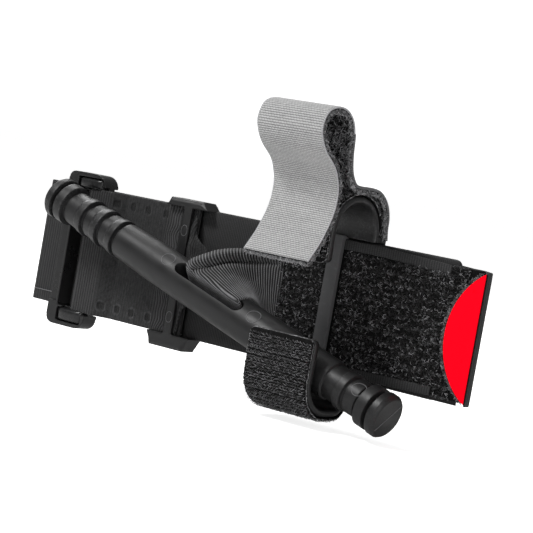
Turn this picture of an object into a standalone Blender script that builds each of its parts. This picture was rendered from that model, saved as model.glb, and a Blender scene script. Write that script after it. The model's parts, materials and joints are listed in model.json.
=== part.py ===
"""Windlass tourniquet in its stowed state: a plastic windlass, clip, plate and buckle on 38 mm webbing.

Frame: +X runs along the band from the buckle to the tip, +Z across the band, and -Y out of its front.
The origin is on the stowed band's back face, behind the middle of the windlass.
Sizes below are in millimetres, with y counted from the band's front face, BACK_FACE_Y in front of the
origin. "h" in a name is a height in front of the band, so h = -y.
"""

import math

import bmesh
import bpy
from mathutils import Matrix, Vector

MM = 0.001

# Band and layers
BAND_HALF = 19.05  # 38.1 mm webbing
STRAP_HALF = 12.5  # 25 mm inner strap
PLY = 0.6
GAP = 0.3
PILE_LEFT, PILE_RIGHT = 11.5, 80.6
PILE_LOW, PILE_HIGH = -18.2, 17.6
TIP_CENTRE_Z = -0.4
TIP_HALF = 17.4
PLATE_BACK_Y, PLATE_FRONT_Y = 4.0, 2.6
LEFT_END, RIGHT_END = -85.3, 83.6
STOWED_REAR_Y, STOWED_NEAR_Y = 6.9, 5.9  # middles of the two plies behind the plate
BACK_FACE_Y = STOWED_REAR_Y + PLY / 2

# Stabilisation plate with its bridge
PLATE_LEFT, PLATE_RIGHT = -30.5, 72.3
PLATE_HALF = 19.25
UPPER_WING = (-30.0, -13.6, 21.3)  # left, right, outer Z
LOWER_WING = (-29.3, -12.6, -23.1)
WING_CHAMFER = 2.4
POST_INNER = 19.4
BRIDGE_BAR_X = (-22.7, -19.7)
BRIDGE_FRONT_Y, BRIDGE_BACK_Y = -2.2, -0.6

# Buckle
BUCKLE_LEFT, BUCKLE_RIGHT = -69.8, -54.0
BUCKLE_LOW, BUCKLE_HIGH = -24.2, 23.4
BUCKLE_FRONT_Y, BUCKLE_BACK_Y = -3.0, 2.8
LOOP_LEFT = -61.2  # middle of the strap that loops round the broad bar

# Windlass clip: two horns, a bar across the band's front and feet behind the plate
CLIP_LEFT, CLIP_RIGHT = 23.6, 45.7
CLIP_WALL = 2.0
CLIP_BAR_X = (31.7, 36.0)
HORN_TOP_Z, HORN_BOTTOM_Z = 30.4, -28.7
UPPER_HORN_H = (-0.4, 19.8)  # the upper horn is a round arch between these heights
LOWER_HORN_H = (0.4, 18.4)
HORN_UPPER_END_Z, HORN_LOWER_END_Z = 12.3, -8.7
HORN_SIDE_Z = 20.3
FOOT_HALF = 0.8  # half the thickness of the feet where they pass the band's edges
HORN_STEPS = 6  # facets in each bend of a horn

# Windlass rod
ROD_LENGTH = 138.6
ROD_AXIS_X = 0.6
ROD_AXIS_H = 10.4
ROD_AXIS_Z = -5.15
ROD_TILT = math.radians(16.8)
ROD_SEGMENTS = 28
SLOT_LENGTH, SLOT_HEIGHT = 26.6, 3.6

# Tapes on the horns
HOOK_TAPE = 0.6
TIME_STRAP = 1.4
LOOP_STANDOFF = 0.4  # hooks and loops hold the strap this far off the hook tape
TIME_STRAP_LEFT, TIME_STRAP_RIGHT = 24.2, 45.7

# Joint axes
BUCKLE_AXIS = (-57.8, 0.0)  # X, Y
TIP_AXIS = (82.95, -1.05)  # X, Y
LIFT_AXIS = (12.4, 34.2)  # h, Z
FLAP_AXIS = (24.5, 53.6)  # h, Z

BLACK = (0.022, 0.022, 0.024, 1.0)
DARK_GREY = (0.045, 0.045, 0.048, 1.0)
LIGHT_GREY = (0.42, 0.42, 0.42, 1.0)
RED = (0.80, 0.004, 0.02, 1.0)


def material(name, colour, roughness):
    made = bpy.data.materials.new(name)
    made.use_nodes = True
    shader = made.node_tree.nodes["Principled BSDF"]
    shader.inputs["Base Color"].default_value = colour
    shader.inputs["Roughness"].default_value = roughness
    shader.inputs["Metallic"].default_value = 0.0
    return made


def add_object(name, mesh_data, look, origin=(0, 0, 0)):
    """One named object from a bmesh in millimetres, with its own origin at the given point."""
    origin = Vector(origin) * MM
    band_front = Vector((0, -BACK_FACE_Y * MM, 0))
    bmesh.ops.recalc_face_normals(mesh_data, faces=mesh_data.faces)
    bmesh.ops.scale(mesh_data, vec=(MM, MM, MM), verts=mesh_data.verts)
    bmesh.ops.translate(mesh_data, vec=-origin, verts=mesh_data.verts)
    mesh = bpy.data.meshes.new(name)
    mesh_data.to_mesh(mesh)
    mesh_data.free()
    made = bpy.data.objects.new(name, mesh)
    made.location = origin + band_front
    made.data.materials.append(look)
    bpy.context.scene.collection.objects.link(made)
    return made


def add_cutter(name, mesh_data, look):
    made = add_object(name, mesh_data, look)
    made.hide_render = True
    made.display_type = "WIRE"
    return made


def boolean(target, other, operation):
    step = target.modifiers.new(operation.lower() + "_" + other.name, "BOOLEAN")
    step.operation = operation
    step.solver = "EXACT"
    step.object = other


def bevel(target, width, segments=2, angle=40):
    step = target.modifiers.new("bevel", "BEVEL")
    step.width = width * MM
    step.segments = segments
    step.limit_method = "ANGLE"
    step.angle_limit = math.radians(angle)


def box(low, high):
    made = bmesh.new()
    size = [b - a for a, b in zip(low, high)]
    centre = [(a + b) / 2 for a, b in zip(low, high)]
    bmesh.ops.create_cube(made, size=1, matrix=Matrix.Translation(centre) @ Matrix.Diagonal((*size, 1)))
    return made


def fillet(points, radii, steps=4):
    """A polyline whose inner corners are rounded: radii has one value for each inner corner."""
    points = [Vector(p) for p in points]
    path = [points[0]]
    for (before, corner, after), radius in zip(zip(points, points[1:], points[2:]), radii):
        to_before, to_after = (before - corner).normalized(), (after - corner).normalized()
        half = to_before.angle(to_after) / 2
        reach = radius / math.tan(half)
        centre = corner + (to_before + to_after).normalized() * (radius / math.sin(half))
        first, last = corner + to_before * reach - centre, corner + to_after * reach - centre
        path += [centre + first.slerp(last, i / steps).normalized() * radius for i in range(steps + 1)]
    return path + [points[-1]]


def directions(path):
    """The unit normal at each point of a polyline, and how far it stretches at a corner."""
    found = []
    for i, point in enumerate(path):
        before = (point - path[i - 1]).normalized() if i else None
        after = (path[i + 1] - point).normalized() if i + 1 < len(path) else before
        before = before or after
        normal = Vector((-before.y - after.y, before.x + after.x)).normalized()
        found.append(normal / normal.dot(Vector((-before.y, before.x))))
    return found


def offset(path, distance):
    """The parallel polyline, to the left of the path for a positive distance."""
    return [point + normal * distance for point, normal in zip(path, directions(path))]


def sheet_outline(path, thickness):
    return offset(path, thickness / 2) + offset(path, -thickness / 2)[::-1]


def along_band(u, v, w):
    """Outlines drawn in X and Y, extruded across the band in Z."""
    return (u, v, w)


def across_band(u, v, w):
    """Outlines drawn in h and Z, extruded along the band in X."""
    return (w, -u, v)


def facing_out(u, v, w):
    """Outlines drawn in X and Z, extruded from the front in Y."""
    return (u, w, v)


def prism(outline, place, low, high):
    made = bmesh.new()
    bottom = made.faces.new([made.verts.new(place(p[0], p[1], low)) for p in outline])
    grown = bmesh.ops.extrude_face_region(made, geom=[bottom])
    shift = Vector(place(0, 0, high)) - Vector(place(0, 0, low))
    moved = [v for v in grown["geom"] if isinstance(v, bmesh.types.BMVert)]
    bmesh.ops.translate(made, vec=shift, verts=moved)
    return made


def sheet(path, thickness, place, low, high):
    return prism(sheet_outline(path, thickness), place, low, high)


def round_leg_corners(made, along, end_z, radius):
    """Rounds the two corners of a tape's or horn's free end, seen from the front."""
    corners = [
        edge
        for edge in made.edges
        if all(abs(v.co.z - end_z) < 0.6 for v in edge.verts)
        and abs(edge.verts[0].co.x - edge.verts[1].co.x) < 1e-3
        and min(abs(edge.verts[0].co.x - x) for x in along) < 1e-3
        and abs(edge.verts[0].co.y - edge.verts[1].co.y) > 0.2
    ]
    bmesh.ops.bevel(made, geom=corners, offset=radius, segments=3, profile=0.5, affect="EDGES")


def rounded_rectangle(left, right, low, high, radius, steps=4):
    middle = ((left + right) / 2, low)
    corners = [(right, low), (right, high), (left, high), (left, low)]
    path = fillet([middle, *corners, middle], [radius] * 4, steps)
    return path[:-1]


# ---- Plastic parts -----------------------------------------------------------------------------


def base_plate(look):
    """A flat plate under the band, with wings, posts and one bridge bar over the buckle strap."""
    flat = prism(
        rounded_rectangle(PLATE_LEFT, PLATE_RIGHT, -PLATE_HALF, PLATE_HALF, 2.0, 3),
        facing_out, PLATE_FRONT_Y, PLATE_BACK_Y,
    )
    plate = add_object("base_plate", flat, look)
    for side, (left, right, edge), word in ((1, UPPER_WING, "upper"), (-1, LOWER_WING, "lower")):
        outline = [
            (left, POST_INNER * side), (right, POST_INNER * side),
            (right - WING_CHAMFER, edge), (left + WING_CHAMFER / 2, edge),
        ]
        post = prism(outline, facing_out, BRIDGE_FRONT_Y, PLATE_BACK_Y)
        boolean(plate, add_cutter("wing_" + word, post, look), "UNION")
        rim = box(
            (left + 1, PLATE_FRONT_Y, min(18 * side, 20.5 * side)),
            (right - 3, PLATE_BACK_Y, max(18 * side, 20.5 * side)),
        )
        boolean(plate, add_cutter("wing_root_" + word, rim, look), "UNION")
    bar = box(
        (BRIDGE_BAR_X[0], BRIDGE_FRONT_Y, -POST_INNER - 1),
        (BRIDGE_BAR_X[1], BRIDGE_BACK_Y, POST_INNER + 1),
    )
    boolean(plate, add_cutter("bridge_bar", bar, look), "UNION")
    bevel(plate, 0.45)
    return plate


def horn_path(side, end_z):
    """The middle line of one horn's wall in h and Z, from beside the band round to its free end."""
    if side > 0:
        back, front = UPPER_HORN_H
        corners, radii = [(back, HORN_TOP_Z), (front, HORN_TOP_Z)], [9.8, 10.0]
    else:
        back, front = LOWER_HORN_H
        corners, radii = [(back + 1.7, HORN_BOTTOM_Z), (front, HORN_BOTTOM_Z)], [4.0, 8.5]
    return fillet([(back, (HORN_SIDE_Z - FOOT_HALF) * side), *corners, (front, end_z)], radii, HORN_STEPS)


def windlass_clip(look):
    parts = []
    for side, end_z in ((1, HORN_UPPER_END_Z), (-1, HORN_LOWER_END_Z)):
        horn = sheet(horn_path(side, end_z), CLIP_WALL, across_band, CLIP_LEFT, CLIP_RIGHT)
        round_leg_corners(horn, (CLIP_LEFT, CLIP_RIGHT), end_z, 1.8)
        parts.append(horn)
    clip = add_object("windlass_clip", parts[0], look)
    boolean(clip, add_cutter("lower_horn", parts[1], look), "UNION")
    bar = box((CLIP_BAR_X[0], -2.2, -HORN_SIDE_Z - 0.5), (CLIP_BAR_X[1], -0.7, HORN_SIDE_Z + 0.5))
    boolean(clip, add_cutter("clip_bar", bar, look), "UNION")
    for side, word in ((1, "upper"), (-1, "lower")):
        inner, outer = (HORN_SIDE_Z - FOOT_HALF) * side, (HORN_SIDE_Z + FOOT_HALF) * side
        neck = box(
            (CLIP_LEFT, -1.0, min(inner, outer)),
            (CLIP_RIGHT, PLATE_BACK_Y + 1.1, max(inner, outer)),
        )
        boolean(clip, add_cutter("neck_" + word, neck, look), "UNION")
        foot = box(
            (CLIP_LEFT, PLATE_BACK_Y + GAP, min(15 * side, HORN_SIDE_Z * side)),
            (CLIP_RIGHT, PLATE_BACK_Y + 1.1, max(15 * side, HORN_SIDE_Z * side)),
        )
        boolean(clip, add_cutter("foot_" + word, foot, look), "UNION")
    return clip


def rod_end(neck):
    """Distance from a rod's end and radius: a cap, a groove, a ring and a neck of this length."""
    cap = [(0, 5.7), (0.5, 6.2), (1.2, 6.4), (3.0, 6.4), (3.3, 5.35), (4.2, 5.35)]
    return cap + [(4.5, 6.2), (7.7, 6.2), (8.0, 5.1), (8.0 + neck, 5.1)]


def grip(start, flare):
    """A grip 7 mm long that widens from a neck to a ring and ends in a groove, as offsets from start."""
    return [(start + flare, 5.6), (start + 5.7, 5.65), (start + 6.0, 4.95), (start + 6.6, 4.95)]


def rod_profile():
    """Distance along the axis from the rod's middle and radius, from its left end to its right end."""
    left = rod_end(3.0) + grip(10.7, 3.2)
    for start in (17.5, 24.4):
        left += [(start, 5.2)] + grip(start, 3.2)
    left += [(31.4, 5.6), (45.0, 5.9)]
    right = rod_end(5.1) + [(13.3, 4.95), (13.6, 5.65), (16.1, 5.6), (16.4, 5.2), (20.6, 5.2)]
    right += [(20.9, 5.7), (45.0, 5.9)]
    middle = ROD_LENGTH / 2
    return [(s - middle, r) for s, r in left] + [(middle - s, r) for s, r in reversed(right)]


def turned(profile, axis_point, axis, segments):
    """A solid of revolution about an axis through a point, from stations of distance and radius."""
    side = Vector(axis).cross(Vector((0, 1, 0))).normalized()
    up = Vector(axis).cross(side)
    made = bmesh.new()
    rings = []
    for distance, radius in profile:
        centre = Vector(axis_point) + Vector(axis) * distance
        angles = [2 * math.pi * i / segments for i in range(segments)]
        rings.append([
            made.verts.new(centre + (side * math.cos(a) + up * math.sin(a)) * radius) for a in angles
        ])
    made.faces.new(rings[0])
    made.faces.new(rings[-1])
    for near, far in zip(rings, rings[1:]):
        for i in range(segments):
            j = (i + 1) % segments
            made.faces.new((near[i], near[j], far[j], far[i]))
    return made


def rod_axis():
    return Vector((math.cos(ROD_TILT), 0, -math.sin(ROD_TILT)))


def rod_centre():
    return Vector((ROD_AXIS_X, -ROD_AXIS_H, ROD_AXIS_Z))


def slot_direction():
    """Out of the slot's mouth: half way between the front and the rod's upper side."""
    upper = Vector((math.sin(ROD_TILT), 0, math.cos(ROD_TILT)))
    return (upper + Vector((0, -1, 0))).normalized()


def windlass_rod(look):
    rod = add_object(
        "windlass_rod", turned(rod_profile(), rod_centre(), rod_axis(), ROD_SEGMENTS), look, rod_centre()
    )
    out = slot_direction()
    frame = Matrix((rod_axis(), rod_axis().cross(out), out)).transposed().to_4x4()
    outline = rounded_rectangle(
        -SLOT_LENGTH / 2, SLOT_LENGTH / 2, -SLOT_HEIGHT / 2, SLOT_HEIGHT / 2, SLOT_HEIGHT / 2 - 0.05
    )
    cutter = prism(outline, along_band, -12, 12)
    bmesh.ops.transform(cutter, matrix=Matrix.Translation(rod_centre()) @ frame, verts=cutter.verts)
    boolean(rod, add_cutter("rod_slot", cutter, look), "DIFFERENCE")
    return rod


def buckle(look):
    """A frame with a narrow bar at its free side and a broad one that the strap loops round."""
    outline = rounded_rectangle(BUCKLE_LEFT, BUCKLE_RIGHT, BUCKLE_LOW, BUCKLE_HIGH, 3.8)
    frame = prism(outline, facing_out, BUCKLE_FRONT_Y, BUCKLE_BACK_Y)
    made = add_object("buckle", frame, look, (*BUCKLE_AXIS, 0))
    inner = BAND_HALF + 0.6
    free_bar, broad_bar = BUCKLE_LEFT + 3.9, LOOP_LEFT + PLY / 2 + 1.7 * GAP
    shapes = {
        "slot": box((free_bar, -9, -inner), (broad_bar, 9, inner)),
        "front": box((free_bar + 2, -9, -inner), (BUCKLE_RIGHT + 5, -1.2, inner)),
        "back": box((free_bar + 2, 1.2, -inner), (BUCKLE_RIGHT + 5, 9, inner)),
        "relief": box((BUCKLE_LEFT - 2, -9, -17.5), (free_bar + 1, BUCKLE_FRONT_Y + 0.7, 17.5)),
    }
    for word, shape in shapes.items():
        boolean(made, add_cutter("buckle_" + word, shape, look), "DIFFERENCE")
    bevel(made, 0.5, 2)
    return made


# ---- Webbing -----------------------------------------------------------------------------------


def buckle_strap(look):
    """A loop round the buckle's broad bar, its two plies welded together as far as the bridge."""
    path = fillet(
        [
            (-17.9, 0.3), (-47.0, 0.3), (-51.5, -2.0), (LOOP_LEFT, -2.0),
            (LOOP_LEFT, 2.0), (-51.5, 2.0), (-48.0, 1.4), (-31.0, 1.4),
        ],
        [2.0, 2.0, 1.6, 1.6, 2.0, 2.0], 4,
    )
    return add_object("buckle_strap", sheet(path, PLY, along_band, -BAND_HALF, BAND_HALF), look)


def sheath_rear(look):
    """The sheath's plain rear ply, seen between the bridge and the pile. Its right end is cut askew."""
    outline = [
        (-18.0, -BAND_HALF), (PILE_RIGHT - 1.6, -BAND_HALF), (PILE_RIGHT - 8.2, BAND_HALF), (-18.0, BAND_HALF)
    ]
    return add_object("sheath_rear_ply", prism(outline, facing_out, 1.8, 2.3), look)


def set_width(mesh_data, beyond_x, low, high):
    """Gives a sheet these edges to the right of beyond_x, so that it tapers towards its right end."""
    for vertex in mesh_data.verts:
        if vertex.co.x > beyond_x:
            vertex.co.z = high if vertex.co.z > 0 else low


def sheath_front(look):
    """The sheath's pile ply, from beside the windlass, under the clip's bar, round the right end."""
    path = fillet(
        [(PILE_LEFT, 0.3), (PILE_RIGHT, 0.3), (PILE_RIGHT, 2.2), (78.6, 4.4)],
        [0.8, 0.8], 3,
    )
    made = sheet(path, PLY, along_band, PILE_LOW - 0.2, BAND_HALF - 0.2)
    set_width(made, 70, PILE_LOW, PILE_HIGH)
    return add_object("sheath_pile_ply", made, look)


def stowed_band(look):
    """The rest of the band: round the right end, behind the plate to the left fold, and back."""
    fold_x = RIGHT_END - PLY / 2
    path = fillet(
        [
            (fold_x, -0.75), (fold_x, 1.2), (77.6, STOWED_REAR_Y),
            (LEFT_END + 0.3, STOWED_REAR_Y), (LEFT_END + 0.3, STOWED_NEAR_Y), (76.4, STOWED_NEAR_Y),
        ],
        [0.75, 2.0, 0.48, 0.48], 4,
    )
    made = sheet(path, PLY, along_band, -BAND_HALF, BAND_HALF)
    set_width(made, 70, PILE_LOW - 0.3, PILE_HIGH + 0.1)
    return add_object("stowed_band", made, look)


def tip_outline(left, right, half):
    """A D: straight along the fold and an arc that reaches left."""
    depth = right - left
    radius = (half * half + depth * depth) / (2 * depth)
    centre, reach = left + radius, math.asin(half / radius)
    angles = [math.pi + reach * (i / 12 * 2 - 1) for i in range(13)]
    return [(centre + radius * math.cos(a), TIP_CENTRE_Z + radius * math.sin(a)) for a in angles]


def tip(name, look, left, front, back):
    outline = tip_outline(left, TIP_AXIS[0] - 0.2, TIP_HALF)
    return add_object(name, prism(outline, facing_out, front, back), look, (*TIP_AXIS, 0))


def smooth_curve(points, count):
    """Points of a Catmull-Rom curve through the given ones, its ends included."""
    points = [Vector(p) for p in points]
    padded = [points[0] * 2 - points[1], *points, points[-1] * 2 - points[-2]]
    made = []
    for i in range(count):
        place = i / (count - 1) * (len(points) - 1)
        k = min(int(place), len(points) - 2)
        t = place - k
        a, b, c, d = padded[k:k + 4]
        made.append(
            0.5 * (2 * b + (c - a) * t + (2 * a - 5 * b + 4 * c - d) * t**2 + (3 * b - a - 3 * c + d) * t**3)
        )
    return made


def twisted_strap(edge_a, edge_b, thickness, count):
    """A strap between two edge curves, which may twist: each station is a flat bar across it."""
    first, second = smooth_curve(edge_a, count), smooth_curve(edge_b, count)
    made = bmesh.new()
    stations = []
    for i, (a, b) in enumerate(zip(first, second)):
        before, after = max(i - 1, 0), min(i + 1, count - 1)
        run = (first[after] + second[after]) - (first[before] + second[before])
        normal = (b - a).cross(run).normalized() * (thickness / 2)
        stations.append([made.verts.new(p) for p in (a + normal, b + normal, b - normal, a - normal)])
    made.faces.new(stations[0])
    made.faces.new(stations[-1])
    for near, far in zip(stations, stations[1:]):
        for i in range(4):
            j = (i + 1) % 4
            made.faces.new((near[i], near[j], far[j], far[i]))
    return made


def slot_edge(sign, out, half=12.3):
    """A point on the strap in the slot: at its left (-1) or right (+1) edge, this far out of the rod."""
    return rod_centre() + rod_axis() * (sign * half) + slot_direction() * out


SPLIT_H = 4.25  # the straps part here, at one height, so that the windlass can turn
SPLIT_GAP = 0.45


def strap_right_run(look):
    """The inner strap from inside the sheath up to the split behind the windlass."""
    near, inside = -(SPLIT_H - SPLIT_GAP), 1.2
    upper = [(x, inside, STRAP_HALF) for x in (78.0, 24.0, 15.0)]
    lower = [(x, inside, -STRAP_HALF) for x in (78.0, 24.0, 15.0)]
    upper += [(11.2, 1.1, 12.4), (8.0, -1.2, 12.0), (3.0, near, 11.2)]
    lower += [(11.2, 1.1, -12.4), (11.0, -1.4, -10.0), (11.4, near, -5.6)]
    return add_object("windlass_strap_right", twisted_strap(upper, lower, PLY, 16), look)


def strap_left_run(look):
    """The inner strap from under the bridge up to the split behind the windlass."""
    near, under = -(SPLIT_H - SPLIT_GAP), -0.15
    upper = [(-17.5, under, STRAP_HALF), (-15.0, under, 12.0), (-13.5, -1.6, 5.0), (-12.3, near, -5.6)]
    lower = [(-17.5, under, -STRAP_HALF), (-12.0, under, -14.0), (0.0, -1.6, -16.4), (9.8, near, -16.6)]
    return add_object("windlass_strap_left", twisted_strap(upper, lower, PLY, 9), look)


def strap_in_slot(look):
    """The inner strap that turns with the windlass: over its upper side and through its slot."""
    near = -(SPLIT_H + SPLIT_GAP)
    upper = [
        (2.4, near, 11.1), (-4.0, -7.5, 10.2), (-9.6, -12.6, 7.0),
        slot_edge(-1, 7.2), slot_edge(-1, 0), slot_edge(-1, -6.4), (-12.6, near, -8.2),
    ]
    lower = [
        (11.8, near, -3.6), (12.9, -8.0, 0.4), (13.4, -13.0, 0.6),
        slot_edge(1, 7.2), slot_edge(1, 0), slot_edge(1, -6.4), (10.6, near, -15.4),
    ]
    strap = twisted_strap(upper, lower, PLY + 0.2, 25)
    return add_object("windlass_strap_loop", strap, look, rod_centre())


# ---- Tapes on the horns ------------------------------------------------------------------------


def hook_tape(name, look, side, end_z):
    """Hook tape on the outside of a horn, from its back round to its free end."""
    path = horn_path(side, end_z + 0.3 * side)
    path = offset(path, side * (CLIP_WALL / 2 + GAP + HOOK_TAPE / 2))[2:]
    made = sheet(path, HOOK_TAPE, across_band, CLIP_LEFT + 0.2, CLIP_RIGHT - 0.2)
    round_leg_corners(made, (CLIP_LEFT + 0.2, CLIP_RIGHT - 0.2), end_z + 0.3 * side, 1.6)
    return add_object(name, made, look)


def strap_piece(name, path, look, origin=(0, 0, 0)):
    made = sheet(path, TIME_STRAP, across_band, TIME_STRAP_LEFT, TIME_STRAP_RIGHT)
    return add_object(name, made, look, origin)


def time_strap_base(look):
    """The strap's fixed part, pressed on the upper horn's hook tape from its back to its top."""
    out = CLIP_WALL / 2 + GAP + HOOK_TAPE + LOOP_STANDOFF + TIME_STRAP / 2
    top = HORN_TOP_Z + out
    back = UPPER_HORN_H[0] - out
    path = fillet(
        [(back - 0.7, HORN_SIDE_Z + FOOT_HALF + 0.5), (back, HORN_TOP_Z - 7), (back, top), (LIFT_AXIS[0] - 0.4, top)],
        [4.0, 8.8], 7,
    )
    return strap_piece("time_strap_base", path, look)


def time_strap_riser(look):
    """The part that stands up from the horn to the fold."""
    points = [
        (LIFT_AXIS[0] + 0.4, 33.4), (14.6, 34.0), (17.2, 37.0), (18.6, 41.6),
        (19.4, 47.4), (21.2, 50.6), (FLAP_AXIS[0] - 0.4, 52.3),
    ]
    path = smooth_curve(points, 17)
    return strap_piece("time_strap_riser", path, look, (0, -LIFT_AXIS[0], LIFT_AXIS[1]))


def time_strap_flap(look):
    """The free end that hangs from the fold in front of the horn."""
    points = [
        (FLAP_AXIS[0] + 0.4, 52.6), (28.2, 52.5), (31.4, 50.9), (32.6, 47.6), (32.0, 45.0), (29.6, 41.7),
        (24.4, 37.6), (21.7, 32.6), (21.3, 28.6), (21.9, 25.0), (23.3, 21.5), (25.7, 17.0), (29.4, 12.0),
    ]
    path = smooth_curve(points, 37)
    return strap_piece("time_strap_flap", path, look, (0, -FLAP_AXIS[0], FLAP_AXIS[1]))


def main():
    for leftover in list(bpy.data.objects):
        bpy.data.objects.remove(leftover)
    plastic = material("moulded_nylon", DARK_GREY, 0.5)
    webbing = material("webbing", BLACK, 0.85)
    pile = material("loop_pile", BLACK, 0.95)
    hooks = material("hook_tape", BLACK, 0.6)
    woven = material("time_strap_tape", LIGHT_GREY, 0.85)
    red = material("red_tip_cloth", RED, 0.7)

    base_plate(plastic)
    windlass_clip(plastic)
    windlass_rod(plastic)
    buckle(plastic)
    buckle_strap(webbing)
    sheath_rear(webbing)
    sheath_front(pile)
    stowed_band(webbing)
    tip("tail_tip", webbing, 74.0, -0.9, -0.3)
    tip("red_tip", red, 73.8, -1.6, -1.2)
    strap_right_run(webbing)
    strap_left_run(webbing)
    strap_in_slot(webbing)
    hook_tape("hook_tape_upper", hooks, 1, HORN_UPPER_END_Z)
    hook_tape("hook_tape_lower", hooks, -1, HORN_LOWER_END_Z)
    time_strap_base(woven)
    time_strap_riser(woven)
    time_strap_flap(woven)


main()
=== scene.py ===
"""Looks of the windlass tourniquet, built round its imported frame.

Sizes are in millimetres until a mesh is made. +X runs from the buckle to the red tip, +Z across the band
and -Y out of its front. Here y is counted from the band's front face, and "h" is a height in front of it,
so h = -y.
"""

import json
import math

import bmesh
import bpy
import numpy as np
from mathutils import Matrix, Vector


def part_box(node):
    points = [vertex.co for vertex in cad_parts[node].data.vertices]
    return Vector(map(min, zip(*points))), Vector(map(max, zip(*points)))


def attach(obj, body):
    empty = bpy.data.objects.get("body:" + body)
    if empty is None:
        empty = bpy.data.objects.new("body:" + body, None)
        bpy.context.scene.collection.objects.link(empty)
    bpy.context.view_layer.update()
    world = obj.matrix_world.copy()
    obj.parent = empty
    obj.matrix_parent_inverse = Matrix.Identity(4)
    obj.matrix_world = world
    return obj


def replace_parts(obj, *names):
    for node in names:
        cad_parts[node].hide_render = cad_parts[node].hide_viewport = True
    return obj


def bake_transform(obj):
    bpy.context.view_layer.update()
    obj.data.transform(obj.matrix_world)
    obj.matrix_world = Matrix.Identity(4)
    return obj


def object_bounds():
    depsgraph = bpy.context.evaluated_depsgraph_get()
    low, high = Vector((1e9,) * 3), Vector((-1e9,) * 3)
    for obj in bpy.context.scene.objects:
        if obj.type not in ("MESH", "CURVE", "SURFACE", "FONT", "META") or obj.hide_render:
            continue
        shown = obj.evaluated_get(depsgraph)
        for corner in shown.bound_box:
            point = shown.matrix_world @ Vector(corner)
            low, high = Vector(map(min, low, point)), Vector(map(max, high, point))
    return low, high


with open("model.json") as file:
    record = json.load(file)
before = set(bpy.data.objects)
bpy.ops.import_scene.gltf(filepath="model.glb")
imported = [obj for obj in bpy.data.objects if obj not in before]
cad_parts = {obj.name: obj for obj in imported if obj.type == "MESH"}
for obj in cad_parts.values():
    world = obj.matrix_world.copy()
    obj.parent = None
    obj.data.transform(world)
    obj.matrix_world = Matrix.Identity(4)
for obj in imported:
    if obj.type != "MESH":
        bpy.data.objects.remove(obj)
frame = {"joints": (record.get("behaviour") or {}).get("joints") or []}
CAD_BOX = [list(corner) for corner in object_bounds()]
JOINTS = {joint["name"]: joint for joint in frame["joints"]}
MM = 0.001
BAND_FRONT = np.array([0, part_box("sheath_pile_ply")[0][1], 0])
rng = np.random.default_rng(20)


def from_frame(point):
    """A point of the frame, as millimetres from the band's front face."""
    return (np.array(point) - BAND_FRONT) / MM


def in_frame(points):
    return np.array(points) * MM + BAND_FRONT


def node_box(name):
    """Lowest and highest corner of a CAD node."""
    return tuple(from_frame(corner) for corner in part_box(name))


def joint_place(name):
    return from_frame(JOINTS[name]["pos_m"])


# ---- Curves and grids ----------------------------------------------------------------------------

EDGE_STEPS = np.array([0, 0.06, 0.2, 0.5])


def unit(vectors):
    return vectors / np.maximum(np.linalg.norm(vectors, axis=-1, keepdims=True), 1e-9)


def run_length(points):
    steps = np.linalg.norm(np.diff(points, axis=0), axis=1)
    return np.concatenate([[0], np.cumsum(steps)])


def even(points, count):
    """Points at even distances along a polyline."""
    points = np.array(points, float)
    run = run_length(points)
    places = np.linspace(0, run[-1], count)
    return np.stack([np.interp(places, run, points[:, k]) for k in range(points.shape[1])], 1)


def catmull_rom(a, b, c, d, t):
    """The point at a share t of the way from b to c on a smooth curve through four points."""
    square, cube = 2 * a - 5 * b + 4 * c - d, 3 * b - a - 3 * c + d
    return 0.5 * (2 * b + (c - a) * t + square * t**2 + cube * t**3)


def with_ends(points):
    """The points with one more at each end, on the line of the last two."""
    return np.vstack([2 * points[0] - points[1], points, 2 * points[-1] - points[-2]])


def smooth_curve(points, count):
    """Evenly spaced points of a Catmull-Rom curve through the given ones."""
    padded = with_ends(np.array(points, float))
    dense = []
    for i in range(len(points) - 1):
        dense += [catmull_rom(*padded[i:i + 4], t) for t in np.linspace(0, 1, 20)]
    return even(dense, count)


def rounded(points, radii, steps=14):
    """A polyline whose inner corners are arcs of these radii."""
    points = [np.array(p, float) for p in points]
    path = [points[0]]
    for (before, corner, after), radius in zip(zip(points, points[1:], points[2:]), radii):
        back, on = unit(before - corner), unit(after - corner)
        half = math.acos(np.clip(back @ on, -1, 1)) / 2
        middle = corner + unit(back + on) * radius / math.sin(half)
        first = corner + back * radius / math.tan(half) - middle
        last = corner + on * radius / math.tan(half) - middle
        turn = math.pi - 2 * half
        for t in np.linspace(0, 1, steps):
            mixed = first * math.sin((1 - t) * turn) + last * math.sin(t * turn)
            path.append(middle + mixed / math.sin(turn))
    return np.array(path + [points[-1]])


def stations(low, high, pitch, thickness):
    """Places across a sheet, closer together at its two edges, where the sheet is rounded."""
    edge = thickness * EDGE_STEPS
    inner = np.linspace(low + edge[-1], high - edge[-1], max(int((high - low) / pitch), 2) + 1)
    return np.concatenate([low + edge[:-1], inner, high - edge[:-1][::-1]])


def carried(path, places, place):
    """A grid of points: a flat path carried across its width."""
    u, v = np.array(path)[:, :1], np.array(path)[:, 1:2]
    w = np.array(places)[None, :]
    return np.stack(np.broadcast_arrays(*place(u, v, w)), -1).astype(float)


def along_band(u, v, w):
    """The path is in X and Y, the width in Z."""
    return u, v, w


def across_band(u, v, w):
    """The path is in h and Z, the width in X."""
    return w, -u, v


def guided(guides, count, places):
    """A grid through guide curves that run side by side, at places from 0, the first, to 1, the last."""
    curves = np.stack([smooth_curve(g, count) for g in guides], 1)
    return np.stack([at_places(row, places) for row in curves])


def at_places(points, places):
    """Points of a Catmull-Rom curve at these shares of its parameter."""
    padded = with_ends(points)
    spot = np.clip(np.array(places), 0, 1) * (len(points) - 1)
    k = np.minimum(spot.astype(int), len(points) - 2)
    return catmull_rom(*(padded[k + i] for i in range(4)), (spot - k)[:, None])


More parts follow.
